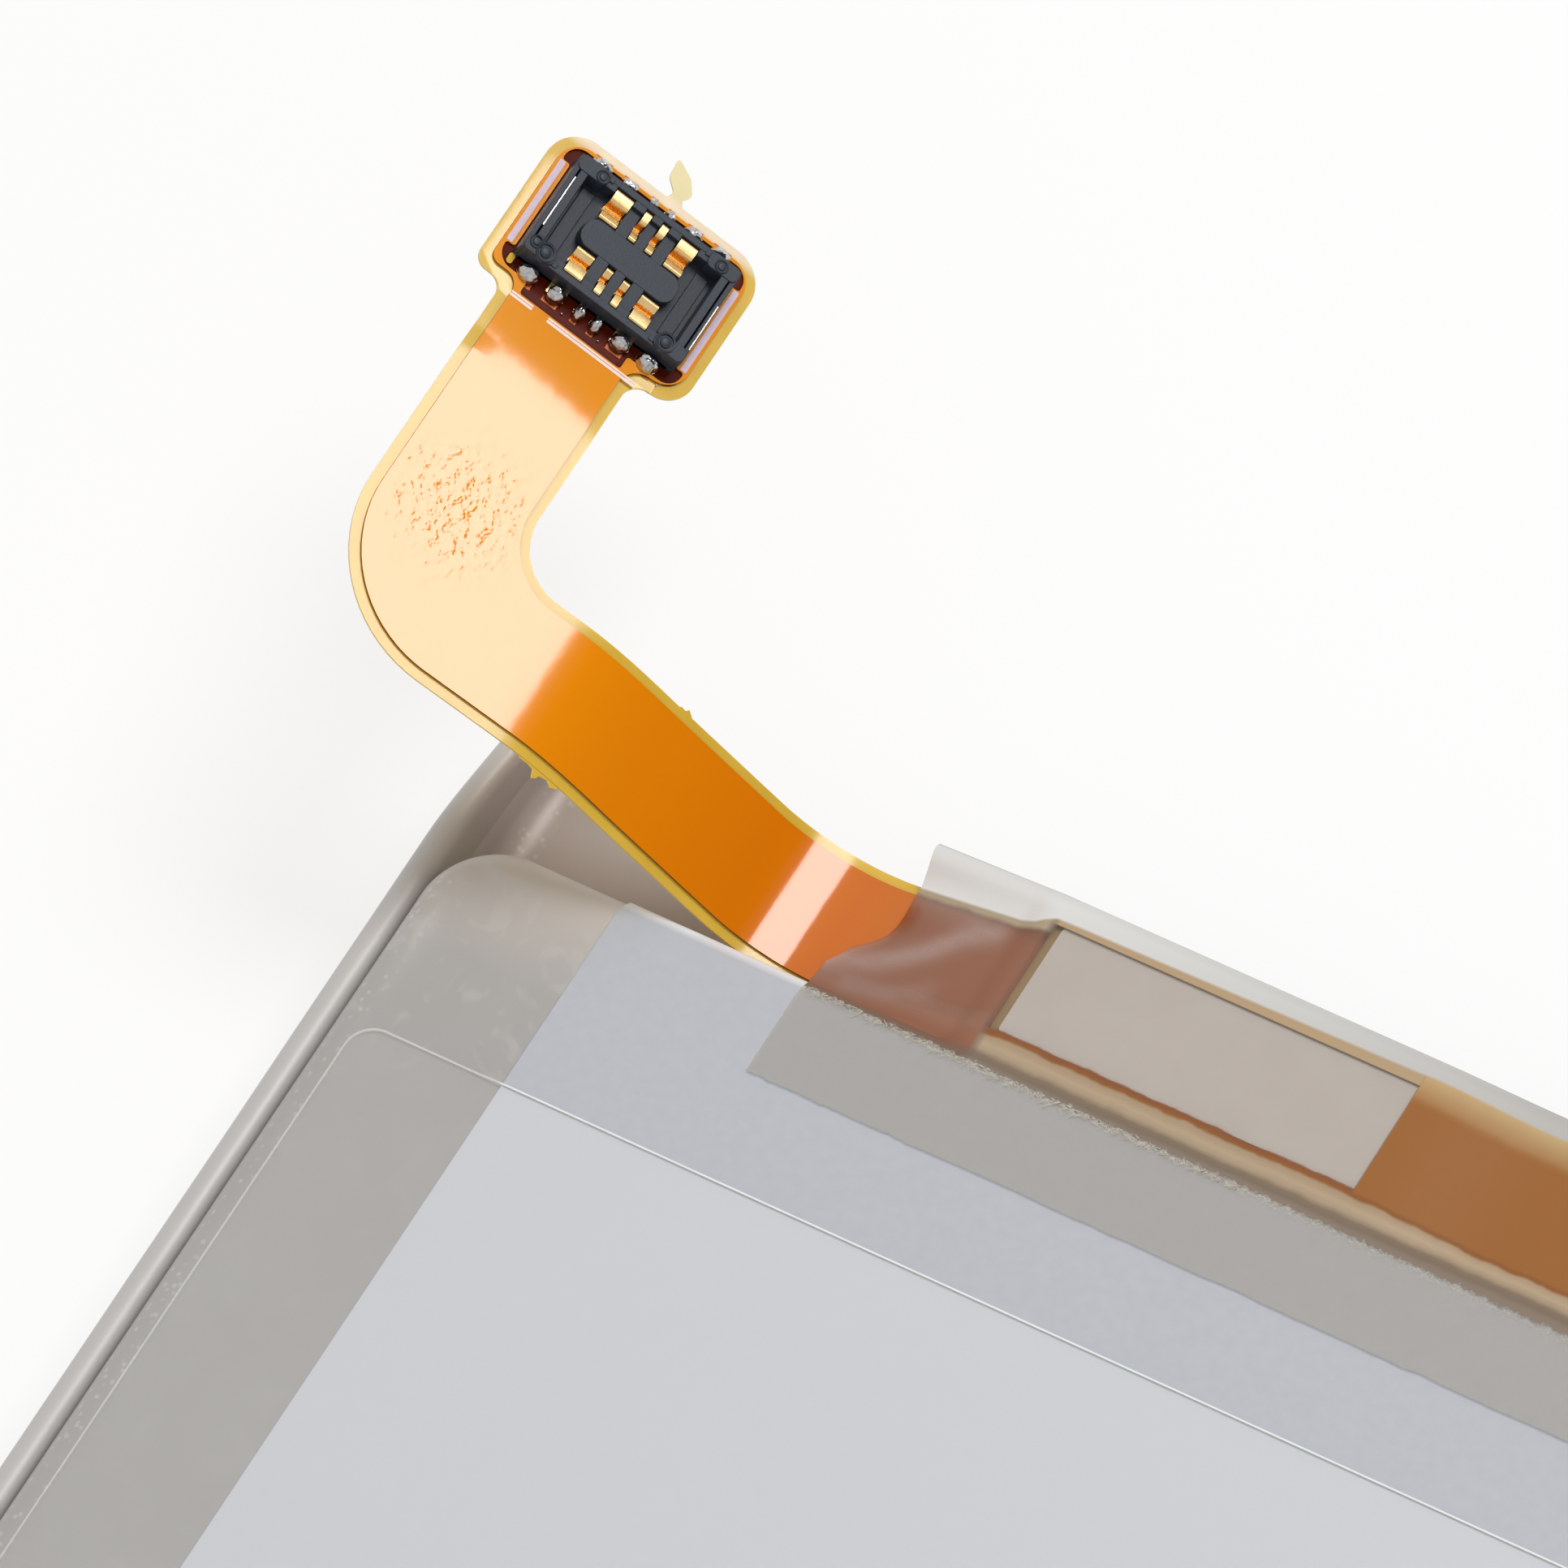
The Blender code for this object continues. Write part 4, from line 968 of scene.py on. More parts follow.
def roll_tree():
    """Node tree that sweeps the folded seam's cross-section along the cell's side."""
    tree, given = open_tree("folded_seam", (
        ("Start", "Vector"), ("End", "Vector"), ("Stations", "Int"), ("Waviness", "Float"),
        ("Wave length", "Float"), ("Lean", "Float"), ("Lean start", "Float"), ("Lean length", "Float"),
        ("Height", "Float")))
    path = add_node(
        tree, "GeometryNodeCurvePrimitiveLine", {"Start": given["Start"], "End": given["End"]})
    even = add_node(
        tree, "GeometryNodeResampleCurve", {"Curve": path.outputs["Curve"], "Count": given["Stations"]})
    upright = add_node(
        tree, "GeometryNodeSetCurveNormal", {"Curve": even.outputs["Curve"]}, mode="Z_UP")
    swept = add_node(
        tree, "GeometryNodeCurveToMesh",
        {"Curve": upright.outputs["Curve"], "Profile Curve": given["Geometry"], "Fill Caps": True})
    place = add_node(tree, "GeometryNodeInputPosition").outputs["Position"]
    parts = add_node(tree, "ShaderNodeSeparateXYZ", {"Vector": place})
    scale = add_node(tree, "ShaderNodeMath", {0: 1.0, 1: given["Wave length"]}, operation="DIVIDE")
    wave = add_node(
        tree, "ShaderNodeTexNoise", {"Vector": place, "Scale": scale.outputs["Value"], "Detail": 2.0})
    centred = add_node(
        tree, "ShaderNodeVectorMath", {0: wave.outputs["Color"], 1: (0.5, 0.5, 0.5)},
        operation="SUBTRACT")
    rise = add_node(
        tree, "ShaderNodeMath", {0: parts.outputs["Z"], 1: given["Height"]}, operation="DIVIDE")
    strength = add_node(
        tree, "ShaderNodeMath", {0: rise.outputs["Value"], 1: given["Waviness"]},
        operation="MULTIPLY")
    shaken = add_node(
        tree, "ShaderNodeVectorMath", {0: centred.outputs["Vector"], "Scale": strength.outputs["Value"]},
        operation="SCALE")
    past = add_node(
        tree, "ShaderNodeMath", {0: parts.outputs["Y"], 1: given["Lean start"]}, operation="SUBTRACT")
    share = add_node(
        tree, "ShaderNodeMapRange",
        {"Value": past.outputs["Value"], "From Max": given["Lean length"]},
        interpolation_type="SMOOTHSTEP")
    lean = add_node(
        tree, "ShaderNodeMath", {0: share.outputs["Result"], 1: rise.outputs["Value"]},
        operation="MULTIPLY")
    inward = add_node(
        tree, "ShaderNodeMath", {0: lean.outputs["Value"], 1: given["Lean"]}, operation="MULTIPLY")
    shift = add_node(tree, "ShaderNodeCombineXYZ", {"X": inward.outputs["Value"]})
    moved = add_node(
        tree, "ShaderNodeVectorMath", {0: shaken.outputs["Vector"], 1: shift.outputs["Vector"]},
        operation="ADD")
    placed = add_node(
        tree, "GeometryNodeSetPosition",
        {"Geometry": swept.outputs["Mesh"], "Offset": moved.outputs["Vector"]})
    close_tree(tree, placed.outputs["Geometry"], given["Material"])
    return tree


def grown(base, tree, values):
    """Plain mesh of an object with a geometry node tree, its inputs set by their names."""
    items = tree.interface.items_tree
    sockets = {item.name: item.identifier for item in items if item.in_out == "INPUT"}
    carrier = bpy.data.objects.new("grown", base)
    bpy.context.scene.collection.objects.link(carrier)
    modifier = carrier.modifiers.new("Grown", "NODES")
    modifier.node_group = tree
    for name, value in values.items():
        modifier[sockets[name]] = value
    graph = bpy.context.evaluated_depsgraph_get()
    mesh = bpy.data.meshes.new_from_object(carrier.evaluated_get(graph))
    bpy.data.objects.remove(carrier)
    return mesh


def side_roll(side, tree, finish):
    """Seam folded up twice along one long side: rounded top, foot under the cell and a fold line inside."""
    outer = roll_outer - roll_inner
    top_radius = outer / 2 - 0.002 * mm
    bottom = 0.02 * mm
    line_top, line_middle, line_bottom, line_depth = 1.25 * mm, 1.18 * mm, 1.1 * mm, 0.05 * mm
    foot_top, foot_reach, foot_radius = 0.42 * mm, 0.26 * mm, 0.3 * mm
    outline = rounded([
        (outer, bottom, foot_radius), (outer, roll_height, top_radius), (0, roll_height, top_radius),
        (0, line_top, 0.05 * mm), (line_depth, line_middle, 0.03 * mm),
        (0, line_bottom, 0.05 * mm), (0, foot_top, 0.1 * mm),
        (-foot_reach, foot_top, 0), (-foot_reach, bottom, 0)])
    curve = bpy.data.curves.new("seam", "CURVE")
    curve.dimensions = "3D"
    spline = curve.splines.new("POLY")
    spline.points.add(len(outline) - 1)
    for point, (x, z) in zip(spline.points, outline):
        point.co = (side * x, -z, 0, 1)
    spline.use_cyclic_u = True
    settings = bpy.context.scene.battery_cell
    return outward(grown(curve, tree, {
        "Start": (side * roll_inner, -half_length, 0), "End": (side * roll_inner, flange_end, 0),
        "Stations": 260, "Waviness": 2 * settings.roll_waviness, "Wave length": 9 * mm,
        "Lean": -side * roll_lean, "Lean start": roll_lean_start, "Lean length": roll_lean_length,
        "Height": roll_height, "Material": finish}))


class BATTERY_OT_pouch(bpy.types.Operator):
    """Build the pouch cell: drawn cup, sealed terrace and the folded side seams"""
    bl_idname = "battery.pouch"
    bl_label = "Pouch cell"

    def execute(self, context):
        finish = pouch_laminate()
        show("pouch_body", pouch_body(), finish, ["pouch_cell"], sharp=50)
        show("terrace_floor", terrace_sheet(), finish)
        tree = roll_tree()
        for side, name in ((-1, "side_roll_left"), (1, "side_roll_right")):
            show(name, side_roll(side, tree, finish), finish, sharp=50)
        return {"FINISHED"}


def laid_label():
    """Label with the face's relief, wrapped over the cell's rounded end."""
    columns = spread(0, label_half, 0.8 * mm, 0.12 * mm)
    columns = [-x for x in reversed(columns)] + [0.0] + columns
    start = half_length - face_radius
    fine = 36 * mm
    wrap = math.radians(62)
    flat = [label_front] + spread(label_front, fine, 1.5 * mm, 0.6 * mm)
    flat += spread(fine, start, 0.4 * mm, 0.15 * mm)
    bottom = face + clearance
    rows = [[(x, y, bottom - relief(x, y)) for x in columns] for y in flat]
    radius = face_radius + clearance
    steps = 14
    for step in range(1, steps + 1):
        turn = wrap * step / steps
        y = start + radius * math.sin(turn)
        z = face - face_radius + radius * math.cos(turn)
        sink = 1 - smoothstep(step / steps)
        rows.append([(x, y, z - relief(x, y) * sink) for x in columns])
    return thickened(grid_mesh(rows), label_thickness, offset=1.0)


def laid_film():
    """Clear film with rounded corners that follows the face; its rim gets the edge's material."""
    middle = (film_front + film_back) / 2
    reach = (film_back - film_front) / 2
    steps = 6
    near = [0.0, film_rim] + [film_radius * step / steps for step in range(1, steps + 1)]
    insets_x = near + spread(film_radius, film_half, 0.2 * mm, 1.5 * mm)
    insets_y = near + spread(film_radius, reach, 0.2 * mm, 1.5 * mm)
    bottom = face + 2 * clearance + label_thickness
    follow = 0.9
    sink = 0.75 * label_thickness
    rows = []
    for row in plan_grid(film_half, reach, film_radius, insets_x, insets_y):
        line = []
        for x, y, inset in row:
            over = middle + y
            # Beside the label the film sinks most of the way onto the pouch
            beside = smoothstep((abs(x) - label_half) / (0.6 * mm))
            line.append((x, over, bottom - relief(x, over) * follow - sink * beside))
        rows.append(line)
    mesh = thickened(grid_mesh(rows), film_thickness, offset=1.0)
    for side in mesh.polygons:
        inset_x = film_half - abs(side.center.x)
        inset_y = reach - abs(side.center.y - middle)
        inset = min(inset_x, inset_y)
        if max(inset_x, inset_y) < film_radius:
            inset = film_radius - math.hypot(film_radius - inset_x, film_radius - inset_y)
        side.material_index = 1 if inset < 0.9 * film_rim else 0
    return mesh


class BATTERY_OT_face(bpy.types.Operator):
    """Lay the label and the clear film on the cell's face"""
    bl_idname = "battery.face"
    bl_label = "Label and film"

    def execute(self, context):
        show("label", laid_label(), label_stock(), ["face_label"], sharp=60)
        show("film", laid_film(), (clear_film(), film_edge()), ["adhesive_film"], sharp=60)
        return {"FINISHED"}


# Flexible circuit

def flex_profile():
    """Side view of the strip as (length, start angle, end angle) pieces, leftwards from the board."""
    beyond_head = 30 * mm
    return (
        (flex_slope_length, flex_slope, flex_slope),
        (flex_valley_radius * (flex_rise - flex_slope), flex_slope, flex_rise),
        (flex_rise_length, flex_rise, flex_rise),
        (flex_crest_radius * (flex_rise - flex_top_slope), flex_rise, flex_top_slope),
        (beyond_head, flex_top_slope, flex_top_slope))


def flex_place(distance):
    """X, Z and tilt of the strip's middle plane at a distance along it, left of the board."""
    x = board_left
    z = flex_middle
    if distance <= 0:
        return x - distance, z, 0.0
    distance -= flex_shortcut * smoothstep(distance / flex_shortcut_length)
    for length, start, end in flex_profile():
        run = min(distance, length)
        angle = start + (end - start) * run / length
        if abs(end - start) < 1e-9:
            x -= run * math.cos(start)
            z += run * math.sin(start)
        else:
            radius = length / (end - start)
            x -= radius * (math.sin(angle) - math.sin(start))
            z += radius * (math.cos(start) - math.cos(angle))
        distance -= run
        if distance <= 0:
            break
    return x, z, angle


def flex_set(distance, y):
    """Small permanent set of the arm: it lies a few degrees flatter than the stiffened head."""
    start, crest_end = 9.4 * mm, 11.97 * mm
    lift = 0.16 * mm
    turn = math.radians(3)
    soft = 0.35 * mm
    arm_end, arm_fade = 49.38 * mm, 0.8 * mm
    height = smoothstep((distance - start) / (crest_end - start)) * lift
    past = distance - crest_end
    if past > -soft:
        bend = (past + soft) ** 2 / (4 * soft) if past < soft else past
        height -= bend * turn
    return height * (1 - smoothstep((y - arm_end) / arm_fade))


def flex_stations():
    """Distances at which the flat sheet is cut before it is bent: every 2.5 degrees and every 0.7 mm."""
    straight, turn, on_head = 0.7 * mm, math.radians(2.5), 0.3 * mm
    stations = [0.0]
    distance = 0.0
    for length, start, end in flex_profile()[:-1]:
        pieces = max(round(length / straight), round(abs(end - start) / turn))
        stations += [distance + length * piece / pieces for piece in range(1, pieces + 1)]
        distance += length
    return stations + [distance + on_head * step for step in range(1, 18)]


def bent(mesh):
    """Bend a flat mesh (x = minus the distance left of the board) to the strip's side view."""
    shape = bmesh.new()
    shape.from_mesh(mesh)
    arm_start, arm_step = 46.6 * mm, 0.3 * mm
    cuts = [((-station, 0, 0), (1, 0, 0)) for station in flex_stations()]
    cuts += [((0, arm_start + arm_step * step, 0), (0, 1, 0)) for step in range(15)]
    for place, normal in cuts:
        everything = shape.verts[:] + shape.edges[:] + shape.faces[:]
        bmesh.ops.bisect_plane(shape, geom=everything, dist=1e-8, plane_co=place, plane_no=normal)
    for corner in shape.verts:
        x, z, tilt = flex_place(-corner.co.x)
        height = corner.co.z + flex_set(-corner.co.x, corner.co.y)
        corner.co.x = x + height * math.sin(tilt)
        corner.co.z = z + height * math.cos(tilt)
    bmesh.ops.triangulate(shape, faces=[side for side in shape.faces if len(side.verts) > 4])
    shape.to_mesh(mesh)
    shape.free()
    return mesh


def sliver_outline():
    """Torn leaf-shaped sliver on the head's far edge."""
    unit = 0.05 * mm
    shape = ((6.6, 0, 1), (5.0, 2.6, 1), (7.6, 6.0, 2.4), (3.2, 12.0, 6),
             (-5.2, 16.0, 0.8), (-4.4, 7.6, 4), (0.4, 3.4, 1), (-0.8, 0, 1))
    return [(head_middle + x * unit, head_back + y * unit, radius * unit) for x, y, radius in shape]


def flex_outline(inset=0.0, sliver=False):
    """Outline of the whole flexible circuit laid flat, moved inwards by an inset."""
    left = head_middle - head_length / 2 + inset
    right = head_middle + head_length / 2 - inset
    front = head_front + inset
    back = head_back - inset
    strip = (strip_front + inset, strip_back - inset)
    on_board = (43.7 * mm + inset, 46.6 * mm - inset)
    end = board_right - board_left - 0.2 * mm - inset
    # The strip widens between these two distances, just before the board
    narrow, wide, shoulder = -1.6 * mm, -1.0 * mm, 0.2 * mm
    end_radius, arm_radius, crook, head_radius = 0.3 * mm, 2.9 * mm, 1.2 * mm, 0.74 * mm
    far_edge = sliver_outline() if sliver else []
    return rounded([
        (end, on_board[0], end_radius), (end, on_board[1], end_radius),
        (wide, on_board[1], shoulder), (narrow, strip[1], shoulder),
        (arm_right - inset, strip[1], crook + inset),
        (arm_right - inset, front, 0.42 * mm + 0.3 * inset), (right, front, 0.62 * mm - 0.3 * inset),
        (right, back, head_radius - inset), *far_edge,
        (left, back, head_radius - inset), (left, front, 0.3 * mm - 0.4 * inset),
        (arm_left + inset, front, 0.3 * mm), (arm_left + inset, strip[0], arm_radius - inset),
        (narrow, strip[0], shoulder), (wide, on_board[0], shoulder)], step=math.radians(5))


def window_outline(grow=0.0):
    """Window in the cover film round the connector, waisted at the sides and stepped towards the arm."""
    wide = 2.12 * mm + grow
    waist = 1.93 * mm + grow
    side = 1.02 * mm
    reach = 1.44 * mm + grow
    low = 1.74 * mm + grow
    large = 0.34 * mm
    small = 0.06 * mm
    step_left, step_right = -1.35 * mm, 1.05 * mm
    corners = (
        (-wide, -reach, large), (step_left, -reach, small), (step_left, -low, small),
        (step_right, -low, small), (step_right, -reach, small), (wide, -reach, large),
        (wide, -side, small), (waist, -side, small), (waist, side, small), (wide, side, small),
        (wide, reach, large), (-wide, reach, large), (-wide, side, small), (-waist, side, small),
        (-waist, -side, small), (-wide, -side, small))
    return rounded([(head_middle + x, head_centre + y, radius) for x, y, radius in corners])


# Torn burrs on the strip's edges, drawn flat in millimetres
flex_burrs = (
    ((-11.80, 43.5), (-11.70, 43.38), (-11.52, 43.39), (-11.38, 43.36), (-11.31, 43.21),
     (-11.24, 43.25), (-11.20, 43.34), (-11.02, 43.38), (-10.90, 43.31), (-10.78, 43.36),
     (-10.70, 43.5)),
    ((-9.66, 46.28), (-9.58, 46.39), (-9.46, 46.38), (-9.40, 46.45), (-9.28, 46.37),
     (-9.16, 46.28)))


class BATTERY_OT_flex(bpy.types.Operator):
    """Build the flexible circuit: polyimide base, amber cover film, stiffener and the window's ground"""
    bl_idname = "battery.flex"
    bl_label = "Flexible circuit"

    def execute(self, context):
        border = context.scene.battery_flex.border_width
        half = flex_base_thickness / 2
        film = slab([flex_outline(sliver=True)], -half, flex_base_thickness)
        torn = [[(x * mm, y * mm) for x, y in burr] for burr in flex_burrs]
        base = bent(joined([film, *[slab([outline], -0.6 * half, half) for outline in torn]]))
        show("flex_base_film", base, polyimide(), ["flex_base"])
        cover = slab([flex_outline(border), window_outline()], half + clearance, flex_cover_thickness)
        for side in cover.polygons:
            side.material_index = 0 if abs(side.normal.z) > 0.5 else 1
        finishes = (amber_coverlay(), coverlay_rim())
        show("flex_cover_film", bent(cover), finishes, ["flex_coverlay"])
        ground = slab([window_outline(0.03 * mm)], half + 0.001 * mm, 0.006 * mm)
        show("window_ground", bent(ground), window_ground())
        inset, thickness = 0.05 * mm, 0.15 * mm
        plate = rectangle(
            head_middle - head_length / 2 + inset, head_middle + head_length / 2 - inset,
            head_front + inset, head_back - inset, 0.69 * mm)
        stiffener = bent(slab([plate], -half - clearance - thickness, thickness))
        show("head_stiffener_plate", stiffener, stiffener_board(), ["head_stiffener"])
        return {"FINISHED"}


# Connector

def head_matrix():
    """Place and tilt of the connector's origin on the head's upper surface."""
    x, z, tilt = flex_place(-head_middle)
    lift = flex_base_thickness / 2 + clearance
    place = Vector((x + lift * math.sin(tilt), head_centre, z + lift * math.cos(tilt)))
    return Matrix.Translation(place) @ Matrix.Rotation(tilt, 4, "Y")


def raised(left, right, front, back, top, radius=0.0, bottom=0.0):
    """Block on the head in millimetres from the connector's middle, its plan corners rounded."""
    outline = rectangle(left * mm, right * mm, front * mm, back * mm, radius * mm)
    return slab([outline], bottom * mm, (top - bottom) * mm)


def on_side(side, near, far):
    """Two distances from the middle as places on one side of it, the lower one first."""
    return sorted((side * near, side * far))


def connector_housing():
    """Moulded housing: floor, grooved end walls, toothed long walls, corner blocks and island."""
    half_x = housing_length / 2 / mm
    half_y = housing_width / 2 / mm
    end_y = half_y - 0.02
    slots = ((-0.985, -0.555), (-0.29, -0.11), (0.11, 0.29), (0.555, 0.985))
    edges = [-1.62, *[edge for slot in slots for edge in slot], 1.62]
    # Floor and island
    blocks = [raised(-half_x, half_x, -half_y, half_y, 0.15, 0.06)]
    blocks.append(raised(-1.1, 1.1, -0.31, 0.31, 0.46, 0.26, 0.05))
    for side in (-1, 1):
        # End wall in two parts with a groove between them
        blocks.append(raised(*on_side(side, 1.80, half_x), -end_y, end_y, 0.60, 0.04, 0.02))
        blocks.append(raised(*on_side(side, 1.60, 1.765), -end_y, end_y, 0.615, 0.03, 0.02))
        # Long wall and the teeth inside it, between the contact slots
        blocks.append(raised(-1.80, 1.80, *on_side(side, 1.03, half_y), 0.575, 0.03, 0.01))
        for left, right in zip(edges[::2], edges[1::2]):
            blocks.append(raised(left, right, *on_side(side, 0.89, 1.06), 0.565, 0.02, 0.03))
        # Ribs from the teeth to the island
        for left, right in ((-0.555, -0.29), (-0.11, 0.11), (0.29, 0.555)):
            blocks.append(raised(left, right, *on_side(side, 0.22, 0.92), 0.45, 0.0, 0.03))
        # Corner block and the small post beside it
        for end in (-1, 1):
            corner = (*on_side(end, 1.20, half_x - 0.015), *on_side(side, 0.83, half_y - 0.012))
            blocks.append(raised(*corner, 0.635, 0.12, 0.04))
            post = (*on_side(end, 1.10, 1.22), *on_side(side, 1.0, 1.12))
            blocks.append(raised(*post, 0.60, 0.02, 0.04))
    # A shelf stands in each end of the recess
    for end in (-1, 1):
        blocks.append(raised(*on_side(end, 1.22, 1.50), -0.74, 0.74, 0.235, 0.03, 0.04))
    width = bpy.context.scene.battery_connector.edge_radius
    rounding = {"width": width, "segments": 2, "limit_method": "ANGLE", "angle_limit": math.radians(35)}
    mesh = evaluated(joined(blocks), [("BEVEL", rounding)])
    mesh.transform(head_matrix())
    return mesh


def turned(profile):
    """Closed solid of revolution round Z from (radius, height) pairs in millimetres, outermost last."""
    count = 24
    turns = [math.tau * step / count for step in range(count)]
    shape = bmesh.new()
    rings = []
    for radius, height in profile:
        rings.append([
            shape.verts.new((radius * mm * math.cos(turn), radius * mm * math.sin(turn), height * mm))
            for turn in turns])
    for ring, following in zip(rings, rings[1:]):
        for step in range(count):
            after = (step + 1) % count
            shape.faces.new((ring[step], ring[after], following[after], following[step]))
    shape.faces.new(rings[0])
    shape.faces.new(list(reversed(rings[-1])))
    bmesh.ops.recalc_face_normals(shape, faces=shape.faces)
    return finished(shape, "turned")


def corner_bosses():
    """Low round bosses on the corner blocks, each inside a ring groove."""
    profile = ((0.03, 0.69), (0.09, 0.685), (0.115, 0.665), (0.12, 0.60), (0.15, 0.60),
               (0.155, 0.67), (0.185, 0.68), (0.205, 0.66), (0.21, 0.55))
    small = [(radius * 0.7, height - 0.015) for radius, height in profile]
    meshes = []
    for x, y in ((-1.44, -0.99), (1.42, -0.98), (-1.70, -0.92), (-1.34, 0.97), (1.5, 0.97)):
        mesh = turned(profile if y < 0 and abs(x) < 1.6 else small)
        mesh.transform(Matrix.Translation((x * mm, y * mm, 0)))
        meshes.append(mesh)
    mesh = joined(meshes)
    mesh.transform(head_matrix())
    return mesh


# Side view of one contact in head millimetres: tail, post, facet on the wall, dip and inner spring arm
contact_path = (
    (1.4, 0.09, 0), (1.0, 0.09, 0.05), (1.0, 0.535, 0.05), (0.75, 0.51, 0.06), (0.69, 0.18, 0.03),
    (0.58, 0.18, 0.03), (0.54, 0.36, 0.05), (0.39, 0.42, 0.05), (0.33, 0.31, 0))


def contact(place, width, side):
    """Strip bent along the contact's side view."""
    thickness = 0.05 * mm
    points = rounded([(y * mm, z * mm, radius * mm) for y, z, radius in contact_path], closed=False)
    rows = [[(place - width / 2, side * y, z), (place + width / 2, side * y, z)] for y, z in points]
    return thickened(grid_mesh(rows), thickness)


def solder_blob(middle, width, side, number):
    """Reflowed solder on a tail: steep against the wall, thinning outwards, a little uneven."""
    shape = bmesh.new()
    bmesh.ops.create_icosphere(shape, subdivisions=4, radius=1.0)
    length = 0.33 * mm
    overlap = 0.065 * mm
    # Wide tails carry higher solder than narrow ones, and the far row is higher than the near one
    height = (0.29 + 0.22 * max(0.0, width / mm - 0.15) + (0.08 if side > 0 else 0.0)) * mm
    for corner in shape.verts:
        x, y, z = corner.co
        lump = 1 + 0.2 * noise.noise(corner.co * 1.9 + Vector((number * 3.1, 0, 0)))
        toe = (1 - y) / 2
        corner.co = Vector((
            x * lump * (width / 2 + overlap) * (0.75 + 0.25 * toe),
            (y + 1) / 2 * length * (0.94 + 0.06 * lump),
            max(0.0, z) * height * lump * (0.55 + 0.45 * toe)))
    bmesh.ops.remove_doubles(shape, verts=shape.verts, dist=1e-8)
    base = 0.066 * mm
    wall = housing_width / 2 + clearance
    for corner in shape.verts:
        x, y, z = corner.co
        corner.co = Vector((middle + x, side * (wall + y), base + z))
    bmesh.ops.dissolve_degenerate(shape, dist=1e-8, edges=shape.edges)
    bmesh.ops.recalc_face_normals(shape, faces=shape.faces)
    return finished(shape, "solder")


def bead(x, y, radius):
    """Stray ball of solder on the window's ground."""
    shape = bmesh.new()
    bmesh.ops.create_icosphere(shape, subdivisions=2, radius=radius)
    bmesh.ops.translate(shape, vec=(x, y, radius), verts=shape.verts)
    return finished(shape, "bead")


# The six solder joints of each side in head millimetres: fitting feet outside, contact tails between
joint_places = (-1.42, -0.77, -0.20, 0.20, 0.77, 1.42)
joint_widths = (0.40, 0.34, 0.15, 0.15, 0.36, 0.42)


class BATTERY_OT_connector(bpy.types.Operator):
    """Build the connector: housing, bosses, contacts, fittings, solder and pads"""
    bl_idname = "battery.connector"
    bl_label = "Connector"

    def execute(self, context):
        polymer = moulded_polymer()
        show("housing", connector_housing(), polymer, ["connector_housing"], flat=True)
        show("housing_bosses", corner_bosses(), polymer)
        gold = plated_gold()
        for kind, place, width in (("power", 0.77 * mm, 0.4 * mm), ("signal", 0.2 * mm, 0.15 * mm)):
            names = [f"{kind}_contact_{number}" for number in range(1, 5)]
            mesh = joined([contact(end * place, width, side) for side in (-1, 1) for end in (-1, 1)])
            mesh.transform(head_matrix())
            show(f"{kind}_contacts", mesh, gold, names, sharp=40)
        names = ["end_fitting_1", "end_fitting_2"]
        tin = plated_tin()
        fittings = joined([softened(name, 0.008 * mm, 50) for name in names])
        show("end_fittings", fittings, tin, names)
        left_clip = raised(-1.795, -1.77, -0.55, 0.65, 0.61, 0.01, 0.1)
        right_clip = raised(1.862, 1.885, -0.8, 0.28, 0.615, 0.01, 0.1)
        clips = joined([left_clip, right_clip])
        clips.transform(head_matrix())
        show("wall_clips", clips, tin)
        blobs = []
        for side in (-1, 1):
            for place, width in zip(joint_places, joint_widths):
                blobs.append(solder_blob(place * mm, width * mm, side, len(blobs)))
        # Three stray balls on the near side
        for x, y in ((-0.458, -1.538), (0.407, -1.535), (1.81, -1.537)):
            blobs.append(bead(x * mm, y * mm, 0.024 * mm))
        solder = joined(blobs)
        solder.transform(head_matrix())
        names = [f"solder_joint_{number:02d}" for number in range(1, 13)]
        show("solder_joints", solder, reflowed_solder(), names)
        pads = []
        bars = []
        for side in (-1, 1):
            for place, width in zip(joint_places, joint_widths):
                left, right = place - width / 2, place + width / 2
                pads.append(raised(left, right, *on_side(side, 1.1, 1.56), 0.007, 0.02, -0.005))
            # Painted highlights: pale lilac bars beside the window's sides, where the film's raised edges
            # catch light
            middle, half = side * 2.08, 0.065
            bars.append(raised(middle - half, middle + half, -1.0, 1.0, 0.069, 0.02, 0.061))
        lips = []
        for left, right in ((-1.5, -0.98), (-0.62, 1.46)):
            for near, far in ((-1.815, -1.775), (-1.885, -1.83)):
                lips.append(raised(left, right, near, far, 0.072, 0.015, 0.058))
        spot = [raised(-1.93, -1.8, -1.38, -1.16, 0.07, 0.06, 0.058)]
        for name, meshes, finish in (
                ("solder_pads", pads, bare_copper()), ("painted_highlight_bars", bars, lilac_highlight_finish()),
                ("window_lip", lips, lip_finish()), ("bare_spot", spot, polyimide())):
            mesh = joined(meshes)
            mesh.transform(head_matrix())
            show(name, mesh, finish)
        return {"FINISHED"}


# Protection board

